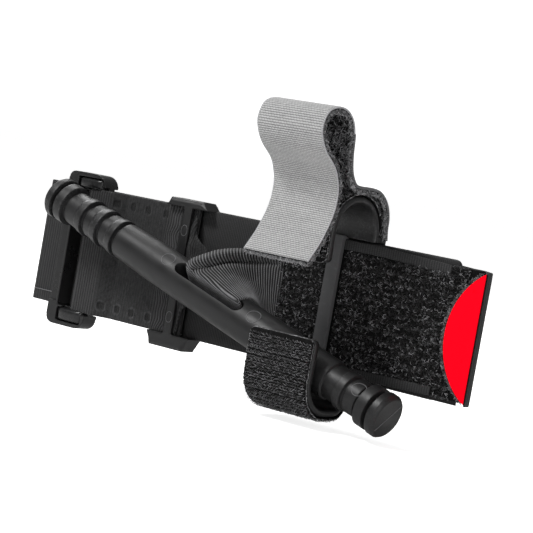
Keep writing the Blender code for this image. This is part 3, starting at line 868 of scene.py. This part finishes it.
def horn_grid(side, end_z, out, left, right, count, pitch, thickness, corner=1.8):
    """A grid over a horn at this distance outside its wall's middle. Its free end has round corners."""
    path = even(offset(horn_path(side, end_z), side * out), count)
    places = stations(left, right, pitch, thickness)
    grid = carried(path, places if side > 0 else places[::-1], across_band)
    inset = np.minimum(grid[..., 0] - left, right - grid[..., 0])
    pull = np.where(inset < corner, corner - np.sqrt(np.maximum(corner**2 - (corner - inset) ** 2, 0)), 0)
    near_end = np.linspace(0, 1, count) ** 6
    grid[..., 2] += side * pull * near_end[:, None]
    return grid


def clip():
    """The two horns with their feet beside the band, and the narrow bar over it."""
    for side, word, end_z in HORNS:
        grid = horn_grid(side, end_z, 0, CLIP_LEFT, CLIP_RIGHT, 220, 1.0, CLIP_WALL)
        horn = cloth(f"clip_horn_{word}", grid, CLIP_WALL, FRAME_LOOK)
        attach(horn, "band")
        edges = sorted(((HORN_SIDE_Z - FOOT_HALF) * side, (HORN_SIDE_Z + FOOT_HALF) * side))
        front = -UPPER_HORN_H[0] if side > 0 else -LOWER_HORN_H[0]
        neck = box((CLIP_LEFT + 0.2, front, edges[0]), (CLIP_RIGHT - 0.2, 5.1, edges[1]))
        ends_z = sorted((15 * side, HORN_SIDE_Z * side))
        foot = box((CLIP_LEFT + 0.2, 4.3, ends_z[0]), (CLIP_RIGHT - 0.2, 5.1, ends_z[1]))
        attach(moulded(f"clip_foot_{word}", [neck, foot], [], FRAME_LOOK, 0.25, 2), "band")
    bar = box((BAR_LEFT, BAR_FRONT, -20.8), (BAR_RIGHT, -0.7, 19.6))
    upper_root = box((BAR_LEFT, BAR_FRONT, 18.9), (BAR_RIGHT, 0.6, 19.9))
    made = moulded("clip_bar", [bar, upper_root], [], LIT_BAR_LOOK, 0.2, 3)
    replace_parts(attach(made, "band"), "windlass_clip")


# ---- Webbing -------------------------------------------------------------------------------------

BAND_HALF = 19.05
NARROWING_START, NARROWING_LENGTH = 48, 26
PILE_NARROWED = (-18.4, 17.8)


def ribbed(name, path, low, high, thickness, look, pitch, depth, shape, sharp=1.0):
    """Webbing along a path in X and Y, with ribs across the band."""
    middle = even(path, int(run_length(np.array(path))[-1] / pitch * 6))
    grid = carried(middle, stations(low, high, 2.2, thickness), along_band)
    grid = shape(grid)
    height = ribs(run_length(middle), pitch, sharp)[:, None] * np.ones(grid.shape[1])
    return cloth(name, grid, thickness, look, height * depth, height * depth, height)


def dots(grid_x, grid_z, centres, radius):
    """How far each point is from the nearest centre, in radii. The marks are squares with round corners."""
    nearest = np.full_like(grid_x, 99.0)
    for x, z in centres:
        away = (np.abs(grid_x - x) ** 4 + np.abs((grid_z - z) * 0.88) ** 4) ** 0.25
        nearest = np.minimum(nearest, away / radius)
    return nearest


WELDS = [(x, -15.7) for x in (-49.6, -43.9, -38.1, -31.3)] + [(x, 15.7) for x in (-49.9, -44.3, -38.2, -31.0)]


def buckle_strap():
    """The loop round the buckle's broad bar: ribbed, flat between its rows of welds, wavy by the bridge."""
    path = rounded(
        [
            (-17.9, 0.3), (-47.0, 0.3), (-51.5, -2.0), (-61.2, -2.0),
            (-61.2, 2.0), (-51.5, 2.0), (-48.0, 1.4), (-31.0, 1.4),
        ],
        [2.0, 2.0, 1.6, 1.6, 2.0, 2.0],
    )
    path = path[::-1]
    pitch, thickness = 0.95, 0.6
    middle = even(path, int(run_length(path)[-1] / pitch * 7))
    grid = carried(middle, stations(-BAND_HALF, BAND_HALF, 0.36, thickness), along_band)
    x, y, z = grid[..., 0], grid[..., 1], grid[..., 2]
    front = y < 0.5
    by_bridge = np.clip((x + 30.5) / 4, 0, 1) * np.clip((-18.5 - x) / 3, 0, 1) * front
    grid[..., 0] += by_bridge * (0.55 * np.sin(z * 0.42 + 0.6) + 0.3 * np.sin(z * 1.1))
    height = ribs(run_length(middle), pitch)[:, None] * np.ones(len(grid[0]))
    flat = np.clip((x + 52.5) / 2, 0, 1) * np.clip((-29.5 - x) / 2, 0, 1) * front
    height = height * (1 - 0.8 * flat)
    uneven = soft_noise(*height.shape, 150, 60)
    away = dots(x, z, WELDS, 1.1)
    welded = np.clip((1.1 - away) / 0.3, 0, 1) * front
    rim = np.clip(1 - np.abs(away - 1.15) / 0.25, 0, 1) * front
    rim = rim * (0.3 + 0.7 * (z < 0)) * (0.75 + 0.5 * uneven)
    relief = height * 0.14 + 0.12 * by_bridge * height - 0.30 * welded + 0.12 * rim + 0.04 * flat * uneven
    # shade paints light: highlights on the rib crests, stronger by the bridge, and on the weld rims, stronger
    # on the lower row; the pressed weld centres get none, and the flat part gets an even mottled tone.
    shade = height * (0.45 + 0.8 * by_bridge) + flat * (0.13 + 0.12 * uneven) + 0.8 * rim - 0.4 * welded
    shade = np.clip(shade, 0, 1.3)
    strap = cloth("buckle_strap_webbing", grid, thickness, BAND_LOOK, relief, height * 0.1, shade)
    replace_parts(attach(strap, "band"), "buckle_strap")


def sheath_rear():
    """The sheath's rear ply, cut askew at its right end."""
    low, high = node_box("sheath_rear_ply")
    path = [(low[0], 2.05), (high[0], 2.05)]

    def askew(grid):
        over = np.clip((grid[..., 0] - 70) / (high[0] - 70), 0, 1)
        grid[..., 0] -= over * (grid[..., 2] + BAND_HALF) / (2 * BAND_HALF) * 6.6
        return grid

    rear = ribbed("sheath_ply", path, low[2], high[2], 0.5, SHEATH_LOOK, 0.62, 0.06, askew)
    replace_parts(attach(rear, "band"), "sheath_rear_ply")


def narrowed(low, high):
    """Moves a sheet's edges to these, little by little, as the band narrows towards its tip."""
    def shape(grid):
        over = np.clip((grid[..., 0] - NARROWING_START) / NARROWING_LENGTH, 0, 1)
        share = (grid[..., 2] + BAND_HALF) / (2 * BAND_HALF)
        grid[..., 2] += over * (low + share * (high - low) - grid[..., 2])
        return grid
    return shape


def pile():
    """The pile ply: a napped ground with thousands of small thread loops."""
    left = node_box("sheath_pile_ply")[0][0]
    path = rounded([(left, 0.3), (80.6, 0.3), (80.6, 2.2), (78.6, 4.4)], [0.8, 0.8])
    middle = even(path, 170)
    grid = carried(middle, stations(-18.4, 18.85, 0.45, 0.6), along_band)
    grid = narrowed(*PILE_NARROWED)(grid)
    n, m = grid.shape[:2]
    swell = 0.12 * soft_noise(n, m, 60, 34)
    ground = cloth("pile_ground_cloth", grid, 0.6, PILE_GROUND, swell)
    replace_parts(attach(ground, "band"), "sheath_pile_ply")
    pile_selvages(left)
    flat = grid[: int(n * 0.9)]
    for name, count, keep in (
        ("pile_loops_by_windlass", 2900, lambda x: x < 31.4),
        ("pile_loops_by_tip", 6200, lambda x: (x > 36.3) & (x < 80.4)),
    ):
        add_pile_loops(name, flat, count, keep)


def pile_selvages(left):
    """The flat ribbed selvages along the pile ply's two edges."""
    path = [(left + 0.4, -0.06), (71.5, -0.06)]
    for word, low, high in (("upper", 16.1, 18.8), ("lower", -18.4, -15.8)):
        shape = narrowed(*PILE_NARROWED)
        strip = ribbed(f"pile_selvage_{word}", path, low, high, 0.3, SHEATH_LOOK, 0.8, 0.07, shape)
        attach(strip, "band")


def add_pile_loops(name, grid, count, keep):
    """Short pile loops in faint rows, about a quarter of them bright, clear of the selvages."""
    spots, normals, along = random_spots(grid, count * 4)
    beside_selvage = (spots[:, 0] > 72) | ((spots[:, 2] < 15.9) & (spots[:, 2] > -15.6))
    chosen = np.flatnonzero(keep(spots[:, 0]) & beside_selvage)[:count]
    spots, normals, along = spots[chosen], normals[chosen], along[chosen]
    count = len(chosen)
    row = 0.5 + 0.5 * np.cos(2 * math.pi * (spots[:, 2] + 0.5 * np.sin(spots[:, 0] / 5)) / 2.7)
    spots[:, 2] += 0.25 * np.sin(2 * math.pi * spots[:, 2] / 2.7)
    side = turned_about(normals, along, rng.uniform(0, math.pi, count))
    lean = turned_about(normals, along, rng.uniform(0, 2 * math.pi, count))
    up = unit(normals + 0.55 * lean)
    bright = rng.uniform(0, 1, count) < 0.24
    shade = np.where(bright, rng.uniform(0.7, 1.1, count), rng.uniform(0.05, 0.42, count))
    shade *= 0.65 + 0.35 * row
    root = spots + normals * 0.3
    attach(fibres(name, root, side, up, (0.45, 0.85), (0.3, 0.65), 0.07, PILE_THREADS, shade), "band")


def stowed_band():
    """The rest of the band: round the right end, behind the plate, and back from the left fold."""
    low, high = node_box("stowed_band")
    fold = high[0] - 0.3
    path = rounded(
        [(fold, -0.75), (fold, 1.2), (77.6, 6.9), (low[0] + 0.3, 6.9), (low[0] + 0.3, 5.9), (76.4, 5.9)],
        [0.75, 2.0, 0.48, 0.48],
    )
    made = ribbed(
        "stowed_webbing", path[::-1], -BAND_HALF, BAND_HALF, 0.6, STOWED_LOOK, 0.95, 0.10,
        narrowed(-18.5, 17.7), sharp=0.8,
    )
    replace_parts(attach(made, "band"), "stowed_band")
    places = enumerate(np.linspace(low[0] + 0.4, low[0] + 14, 60))
    stitch = [(x, 5.38 + 0.1 * math.cos(number * 1.6), -15.7) for number, x in places]
    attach(tube("left_fold_stitch", stitch, 0.13, PALE_THREAD), "band")


# ---- Inner strap ---------------------------------------------------------------------------------

SLOT_ACROSS = np.cross(ROD_AXIS, SLOT_OUT)


def slot_point(share, out, lift=0.9):
    """A point of the strap in the slot: share runs from its left edge, -1, to its right edge, 1."""
    along = 0.9 + 11.3 * share
    return ROD_CENTRE + ROD_AXIS * along + SLOT_OUT * out - SLOT_ACROSS * lift


def inner_strap_front():
    """From the sheath, rolled over at its upper edge with a crease below the roll, into the slot."""
    shares = (-1, -0.88, -0.76, -0.62, -0.1, 0.45, 1)
    guides = [
        [(-7.4, -14.2, 4.3), (-3.6, -12.8, 7.0), (0.2, -10.2, 9.2), (5.4, -6.0, 10.6), (11.0, -1.6, 10.4)],
        [(-4.6, -15.2, 4.2), (-1.0, -13.9, 5.9), (2.6, -11.4, 8.0), (6.6, -7.6, 9.3), (11.0, -2.3, 9.3)],
        [(-4.3, -13.6, 2.9), (-0.9, -10.9, 3.9), (2.2, -7.7, 5.8), (6.2, -4.4, 7.1), (11.0, -0.9, 7.9)],
        [(-1.6, -14.4, 2.0), (1.6, -12.6, 3.9), (4.4, -9.8, 5.3), (7.4, -6.2, 5.9), (11.4, -2.2, 6.4)],
        [(2.6, -14.4, 0.4), (4.8, -12.0, 2.0), (6.6, -8.4, 2.6), (8.6, -5.0, 2.3), (12.2, -1.9, 1.6)],
        [(8.0, -14.4, -1.6), (9.0, -12.0, -0.7), (9.6, -8.2, -0.5), (10.6, -4.6, -1.4), (13.0, -1.7, -3.2)],
        [(12.7, -14.3, -3.6), (13.2, -12.2, -3.0), (13, -8.4, -3), (12.6, -4.4, -4.8), (13.8, -1.4, -8.6)],
    ]
    sheath_z = (12.0, 9.6, 7.6, 5.6, 0.2, -6.0, -12.0)
    lines = []
    for share, guide, z in zip(shares, guides, sheath_z):
        inside = [slot_point(share, out) for out in (-5.0, 1.5, 5.6)]
        lines.append([*inside, *guide, (16.5, 0.9, z)])
    pitch, thickness = 0.86, 0.7
    longest = run_length(np.array(lines[0], float))[-1]
    grid = guided(lines, int(longest / pitch * 8), stations(0, 1, 0.014, thickness / 25))
    run = np.stack([run_length(grid[:, k]) for k in range(grid.shape[1])], 1)
    height = ribs(run / run[-1:, :] * longest * 0.97, pitch, 3.6)[:, ::-1]
    turned = grid[:, ::-1]
    made = cloth("inner_strap_front", turned, thickness, STRAP_LOOK, height * 0.30, height * 0.2, height)
    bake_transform(made)
    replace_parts(made, "windlass_strap_right", "windlass_strap_loop")


def inner_strap_rear():
    """From the back of the slot under the bridge, crushed behind the rod and crumpled beside the bar."""
    shares = (1, 0.6, 0.2, -0.2, -0.6, -1)
    guides = [
        [(5, -3, -12.6), (-4, -2.4, -10.4), (-12.5, -2.2, -8.4), (-17.6, -1.7, -11.5), (-19.3, -0.5, -18.6)],
        [(1.6, -3.2, -9.4), (-6, -2.6, -8.2), (-13.5, -2.5, -6.6), (-18.2, -1.5, -7.0), (-20.3, -0.5, -11)],
        [(-2.2, -3.2, -6.6), (-8.4, -2.4, -5.6), (-14.2, -1.7, -3.6), (-18.6, -1.9, -2), (-20.6, -0.5, -3.5)],
        [(-5.8, -3.6, -3.8), (-10.0, -2.8, -2.0), (-14.6, -2.6, 1.0), (-18.2, -1.3, 3.0), (-20.6, -0.5, 3.5)],
        [(-8.2, -4.2, -0.8), (-11.2, -2.2, 3.4), (-14.6, -1.6, 6.2), (-18.0, -2.0, 8.4), (-20.4, -0.5, 10.5)],
        [(-9.4, -4.0, 2.8), (-11.4, -1.9, 7.4), (-14.8, -1.5, 9.8), (-17.7, -0.7, 12.0), (-18.9, -0.3, 17.4)],
    ]
    under_bridge = (-18.6, -11.0, -3.6, 3.6, 11.0, 18.2)
    lines = []
    for share, guide, z in zip(shares, guides, under_bridge):
        inside = [slot_point(share, out, 0.0) for out in (0.5, -4.6)]
        lines.append([*inside, *guide, (-24.5, -0.1, z)])
    pitch, thickness = 0.9, 0.55
    longest = run_length(np.array(lines[2], float))[-1]
    grid = guided(lines, int(longest / pitch * 9), stations(0, 1, 0.014, thickness / 34))
    n, m = grid.shape[:2]
    near_bar = np.clip((-11 - grid[..., 0]) / 5, 0, 1) * np.clip((grid[..., 0] + 21.5) / 2, 0, 1)
    grid[..., 1] += 0.45 * near_bar * soft_noise(n, m, 16, 12)
    height = ribs(run_length(grid[:, m // 2]), pitch)[:, None] * np.ones(m)
    relief = height * 0.14
    # A darker copy of the strap's webbing: painted shade behind the rod.
    made = cloth("inner_strap_rear", grid[:, ::-1], thickness, SHADED_STRAP_LOOK, relief, relief, height)
    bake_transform(made)
    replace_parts(made, "windlass_strap_left")


# ---- Tip -----------------------------------------------------------------------------------------


def tip_grid(left, right, half, y, middle_z, count=60):
    """A D-shaped grid: straight along the fold, an arc on the other side."""
    depth = right - left
    radius = (half * half + depth * depth) / (2 * depth)
    z = np.linspace(-half, half, count)
    arc = left + radius - np.sqrt(radius**2 - z**2)
    share = np.linspace(0, 1, 30)[:, None]
    x = arc + (right - arc) * share
    return np.stack(np.broadcast_arrays(x, y, z + middle_z), -1).astype(float)


def tip():
    low, high = node_box("red_tip")
    middle_z, half = (low[2] + high[2]) / 2, (high[2] - low[2]) / 2
    red = cloth("red_tip_cloth", tip_grid(low[0], high[0] + 0.5, half + 0.1, -1.4, middle_z), 0.4, RED_LOOK)
    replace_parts(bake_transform(red), "red_tip")
    tail_grid = tip_grid(low[0] - 0.5, high[0] + 0.6, half + 0.4, -0.6, middle_z)
    tail = cloth("tail_tip_cloth", tail_grid, 0.6, PILE_GROUND)
    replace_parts(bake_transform(tail), "tail_tip")
    count = 620
    z = rng.uniform(-half, half, count)
    depth = high[0] - low[0]
    radius = (half * half + depth * depth) / (2 * depth)
    x = low[0] + radius - np.sqrt(radius**2 - z**2) - rng.uniform(0.1, 1.3, count)
    spots = np.stack([x, np.full(count, -0.95), z + middle_z], 1)
    normals = np.tile([0.0, -1.0, 0.0], (count, 1))
    side = turned_about(normals, np.tile([1.0, 0, 0], (count, 1)), rng.uniform(0, math.pi, count))
    fringe = ("tail_fringe", spots, side, normals, (0.4, 0.9), (0.2, 0.6), 0.055, PILE_THREADS, (0.2, 1.0))
    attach(fibres(*fringe), "tip")
    for number, z in enumerate((12.1, -6.6)):
        turns = np.linspace(0, 2 * math.pi, 12, endpoint=False)
        ring = [(80.5 + 0.22 * math.cos(a), -1.62, z + 0.22 * math.sin(a)) for a in turns]
        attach(tube(f"red_tip_tack_{number + 1}", ring, 0.12, RED_LOOK, closed=True), "tip")


# ---- Tapes on the horns --------------------------------------------------------------------------


def hook_tapes():
    """Hook tape on both horns: rows of tiny bent hooks on a dark ground, with frayed pale edges."""
    thickness = HOOK_TAPE
    out = CLIP_WALL / 2 + TAPE_GAP + thickness / 2
    left, right = CLIP_LEFT + 0.2, CLIP_RIGHT - 0.2
    for side, word, end_z in HORNS:
        grid = horn_grid(side, end_z, out, left, right, 240, 0.8, thickness, 1.6)[20 if side > 0 else 40:]
        tape = cloth(f"hook_tape_{word}_ground", grid, thickness, HOOK_GROUND)
        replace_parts(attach(tape, "band"), f"hook_tape_{word}")
        add_hooks(f"hooks_{word}", grid, thickness)
        rim = np.concatenate([grid[20:, 0], grid[-1, 1:-1], grid[:20:-1, -1]])
        rim = even(rim, 260) + rng.normal(0, 0.10, (260, 3))
        frayed = np.repeat(rng.uniform(0.1, 1.0, 260), 6)
        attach(tube(f"hook_tape_{word}_edge", rim, 0.13, HOOK_THREADS, shade=frayed), "band")


HOOK_ROW, HOOK_COLUMN = 0.78, 0.52


def add_hooks(name, grid, thickness):
    """Rows of bent hooks, each row leaning the other way from the one before it."""
    rows = int(run_length(grid[:, 5])[-1] / HOOK_ROW)
    columns = int((CLIP_RIGHT - CLIP_LEFT) / HOOK_COLUMN)
    n, m = grid.shape[:2]
    normal = grid_normals(grid)
    spot, up, side, shade = [], [], [], []
    for row in range(rows):
        i = min(int((row + 0.5) / rows * (n - 1)), n - 2)
        along = unit(grid[i, m - 3] - grid[i, 2])
        for column in range(columns):
            share = (column + 0.5 + 0.2 * rng.uniform(-1, 1)) / columns
            place = grid[i, 2] + (grid[i, m - 3] - grid[i, 2]) * share
            down = unit(grid[i + 1, m // 2] - grid[i, m // 2])
            turn = 0.75 if row % 2 else -0.75
            spot.append(place + down * 0.2 * rng.uniform(-1, 1))
            up.append(normal[i, m // 2])
            side.append(unit(along * math.cos(turn) + down * math.sin(turn) * rng.uniform(0.7, 1.3)))
            shade.append(rng.uniform(0.15, 1.0))
    spot, up, side = np.array(spot), np.array(up), np.array(side)
    spot += up * (thickness / 2 - 0.02)
    shade = np.array(shade)
    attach(fibres(name, spot, side, up, (0.5, 0.8), (0.35, 0.55), 0.07, HOOK_THREADS, shade, HOOK), "band")


STRAP_LEFT, STRAP_RIGHT = node_box("time_strap_base")[0][0], node_box("time_strap_base")[1][0]
STRAP_MIDDLE = joint_place("time_strap_lift")[0]
# Two places for each part of the strap, where its bend starts and where it stops.
LIFT_BEND = ((STRAP_MIDDLE, -10.0, 33.4), (STRAP_MIDDLE, -17.5, 38.0))
OPEN_BEND = ((STRAP_MIDDLE, -22.8, 51.2), (STRAP_MIDDLE, -27.5, 48.3))


def strap_path():
    """The strap's middle line in h and Z: round the horn's back, up to the fold, and down in front."""
    out = CLIP_WALL / 2 + TAPE_GAP + HOOK_TAPE + LOOP_STANDOFF + TIME_STRAP / 2
    top, back = HORN_TOP_Z + out, UPPER_HORN_H[0] - out
    round_horn = rounded(
        [(back - 0.7, HORN_SIDE_Z + 0.1), (back, HORN_TOP_Z - 7), (back, top), (12.0, top)], [4.0, 8.8]
    )
    rise = [(14.6, 34.0), (17.2, 37.0), (18.6, 41.6), (19.4, 47.4)]
    fold = [(21.2, 51.0), (24.5, 53.0), (28.4, 53.1), (31.8, 51.5), (33.2, 48.0), (32.4, 45.0), (29.8, 41.7)]
    hang = [(24.4, 37.6), (21.7, 32.6), (21.3, 28.6), (21.9, 25.0), (23.3, 21.5), (25.7, 17.0), (29.4, 12.0)]
    whole = smooth_curve([*even(round_horn, 9), *rise, *fold, *hang], 700)
    seam = int(np.argmin(np.hypot(*(whole - np.array(rise[-1])).T)))
    return whole, seam


def time_strap():
    """A woven strap lined with loops: fixed on the upper horn, standing up, folded and hanging down."""
    whole, seam = strap_path()
    run = run_length(whole)
    pieces = (
        ("lower", slice(0, seam + 1), ("band", "time_strap_riser"), LIFT_BEND),
        ("upper", slice(seam, None), ("time_strap_riser", "time_strap_flap"), OPEN_BEND),
    )
    replaced = {"lower": ("time_strap_base", "time_strap_riser"), "upper": ("time_strap_flap",)}
    edge_bead = {"lower": (SELVAGE_LOOK, 0.42), "upper": (EDGE_LOOK, 0.26)}
    for word, part, bodies, (start, end) in pieces:
        def bent(piece):
            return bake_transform(piece)

        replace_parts(bent(strap_face(word, whole[part], run[part])), *replaced[word])
        grid = carried(whole[part], stations(STRAP_LEFT, STRAP_RIGHT, 0.3, 0.5), across_band)
        swell = 0.1 + 0.12 * soft_noise(*grid.shape[:2], 60, 22)
        bent(cloth(f"time_strap_{word}_lining", grid, 0.5, LOOP_GROUND, -0.05, swell))
        bent(strap_loops(f"time_strap_{word}_loops", grid, 3000))
        sides = (("left", 0, STRAP_LEFT - 0.1), ("right", grid.shape[1] - 1, STRAP_RIGHT + 0.1))
        for edge, column, x in sides:
            bent(edge_loops(f"time_strap_{word}_{edge}_edge", grid, column, 330))
            bent(selvage(f"time_strap_{word}_{edge}_selvage", whole[part], x, *edge_bead[word]))
        if word == "upper":
            bent(end_loops("time_strap_end_loops", grid, 150))


ROW_PITCH, STITCH_PITCH = 0.62, 0.95


def strap_face(word, path, run):
    """The face: rows of short stitches, each row shifted by half a stitch from the one before it."""
    grid = carried(path, stations(STRAP_LEFT, STRAP_RIGHT, 0.2, 0.45), across_band)
    across = grid[:, :, 0] - STRAP_LEFT
    row = run / ROW_PITCH
    line = (0.5 - 0.5 * np.cos(2 * math.pi * row))[:, None] ** 0.6
    shift = 0.5 * (np.floor(row) % 2)[:, None] + 0.12 * np.sin(row * 0.7)[:, None]
    stitch = (0.5 + 0.5 * np.cos(2 * math.pi * (across / STITCH_PITCH + shift))) ** 0.5
    height = line * (0.45 + 0.55 * stitch)
    face = grid + grid_normals(grid) * 0.42
    return cloth(f"time_strap_{word}", face, 0.45, STRAP_FACE, 0.10 * height - 0.05, -0.05, height)


def selvage(name, path, x, look, radius):
    """The ribbed bead along one edge of the strap."""
    middle = even(path, int(run_length(path)[-1] / 0.5 * 6))
    outward = offset(middle, 0.38)
    height = ribs(run_length(middle), 0.5)
    line = np.stack([np.full(len(outward), x), -outward[:, 0], outward[:, 1]], 1)
    return tube(name, line, radius, look, sides=8, shade=np.repeat(height, 8))


def end_loops(name, grid, count):
    """Loops that stick out below the strap's free end."""
    m = grid.shape[1]
    j = rng.integers(2, m - 3, count)
    normal = grid_normals(grid)[-1, j]
    down = unit(grid[-1, j] - grid[-3, j])
    inward = normal * rng.uniform(0.1, 0.8, count)[:, None]
    spots = grid[-1, j] - inward - down * rng.uniform(0, 0.4, count)[:, None]
    side = unit(np.array([1.0, 0, 0]) + 0.5 * rng.normal(0, 1, (count, 3)))
    up = unit(down - 0.5 * normal + 0.3 * rng.normal(0, 1, (count, 3)))
    return fibres(name, spots, side, up, (0.8, 1.5), (0.5, 1.1), 0.12, LOOP_THREADS, (0.4, 1.0))


def strap_loops(name, grid, count):
    """The lining's loops, on the strap's inner side."""
    spots, normals, along = random_spots(grid, count)
    side = turned_about(normals, along, rng.uniform(0, math.pi, count))
    lean = turned_about(normals, along, rng.uniform(0, 2 * math.pi, count))
    up = unit(-normals + 0.4 * lean)
    root = spots - normals * 0.3
    return fibres(name, root, side, up, (0.8, 1.5), (0.4, 0.85), 0.10, LOOP_THREADS, (0.1, 0.95))


def edge_loops(name, grid, column, count):
    """Pale loops that stick out at the strap's edges and hang over its lining."""
    n = len(grid)
    i = rng.integers(2, n - 3, count)
    normal = grid_normals(grid)[i, column]
    along = unit(grid[i + 1, column] - grid[i, column])
    outward = np.array([1.0 if column else -1.0, 0, 0])
    inward = normal * rng.uniform(0.2, 0.9, count)[:, None]
    spots = grid[i, column] - inward - outward * rng.uniform(0, 0.5, count)[:, None]
    side = unit(along + 0.6 * rng.normal(0, 1, (count, 3)))
    up = unit(outward * 0.5 - normal * 0.8 + 0.4 * rng.normal(0, 1, (count, 3)))
    return fibres(name, spots, side, up, (0.8, 1.5), (0.4, 0.95), 0.12, LOOP_THREADS, (0.3, 1.0))


# ---- Stage ---------------------------------------------------------------------------------------

CAMERA_AZIMUTH, CAMERA_ELEVATION, CAMERA_ROLL = (math.radians(a) for a in (37.717, 2.84, -10.106))
CAMERA_DISTANCE, CAMERA_LENS = 0.57904, 136.67
CAMERA_TARGET = Vector(in_frame((9.66, 0, 6.75)))
FLOOR_HALF = 9000
LOWEST_PIECE = -0.0325


def camera():
    made = bpy.data.objects.new("camera", bpy.data.cameras.new("camera"))
    made.data.lens = CAMERA_LENS
    made.data.sensor_width = 36.0
    turn = Matrix.Rotation(CAMERA_AZIMUTH, 4, "Z") @ Matrix.Rotation(math.pi / 2 - CAMERA_ELEVATION, 4, "X")
    turn = turn @ Matrix.Rotation(-CAMERA_ROLL, 4, "Z")
    back = turn.to_3x3() @ Vector((0, 0, 1))
    made.matrix_world = Matrix.Translation(CAMERA_TARGET + back * CAMERA_DISTANCE) @ turn
    bpy.context.scene.collection.objects.link(made)
    bpy.context.scene.camera = made


def area_light(name, place, size, power, target=(0, 0, 0.005)):
    data = bpy.data.lights.new(name, "AREA")
    data.shape, data.size, data.energy = "DISK", size, power
    made = bpy.data.objects.new(name, data)
    made.location = place
    made.rotation_euler = (Vector(place) - Vector(target)).to_track_quat("Z", "Y").to_euler()
    bpy.context.scene.collection.objects.link(made)


def stage():
    """A pale floor under a white sky, lit softly from the upper left, the right and behind the object."""
    low = min(CAD_BOX[0][2], LOWEST_PIECE)
    look = Look("pale_floor", Roughness=0.9, Specular_IOR_Level=0.1, Emission_Color=(1, 1, 1, 1))
    seen = look.node("ShaderNodeLightPath").outputs["Is Camera Ray"]
    tone = look.mix(look.noise(300, 2.0), grey(0.90, (1, 1, 1)), grey(0.93, (1, 1, 1)))
    look.done(Base_Color=tone, Emission_Strength=look.maths("MULTIPLY", seen, 0.80))
    corners = [(x * FLOOR_HALF, y * FLOOR_HALF, 0) for x, y in ((-1, -1), (1, -1), (1, 1), (-1, 1))]
    floor = add_mesh("floor", corners, [(0, 1, 2, 3)], look.material)
    floor.location.z = low - 0.0006
    world = bpy.data.worlds.new("sky")
    bpy.context.scene.world = world
    world.use_nodes = True
    tree = world.node_tree
    light = tree.nodes["Background"]
    light.inputs["Color"].default_value = (1, 1, 1, 1)
    light.inputs["Strength"].default_value = 0.22
    seen = tree.nodes.new("ShaderNodeBackground")
    seen.inputs["Strength"].default_value = 1.2
    path, mixed = tree.nodes.new("ShaderNodeLightPath"), tree.nodes.new("ShaderNodeMixShader")
    tree.links.new(path.outputs["Is Camera Ray"], mixed.inputs[0])
    tree.links.new(light.outputs[0], mixed.inputs[1])
    tree.links.new(seen.outputs[0], mixed.inputs[2])
    tree.links.new(mixed.outputs[0], tree.nodes["World Output"].inputs[0])
    seen.inputs["Color"].default_value = (1, 1, 1, 1)
    area_light("key", (-0.30, -0.65, 0.80), 0.28, 7.0)
    area_light("fill", (0.80, -0.50, 0.15), 0.5, 2.2)
    area_light("rim", (-0.55, 0.25, 0.55), 0.4, 3.0)
    bpy.context.scene.view_settings.view_transform = "Standard"


# ---- Build ---------------------------------------------------------------------------------------

windlass_rod()
buckle()
plate()
clip()
buckle_strap()
sheath_rear()
pile()
stowed_band()
inner_strap_front()
inner_strap_rear()
tip()
hook_tapes()
time_strap()
camera()
stage()
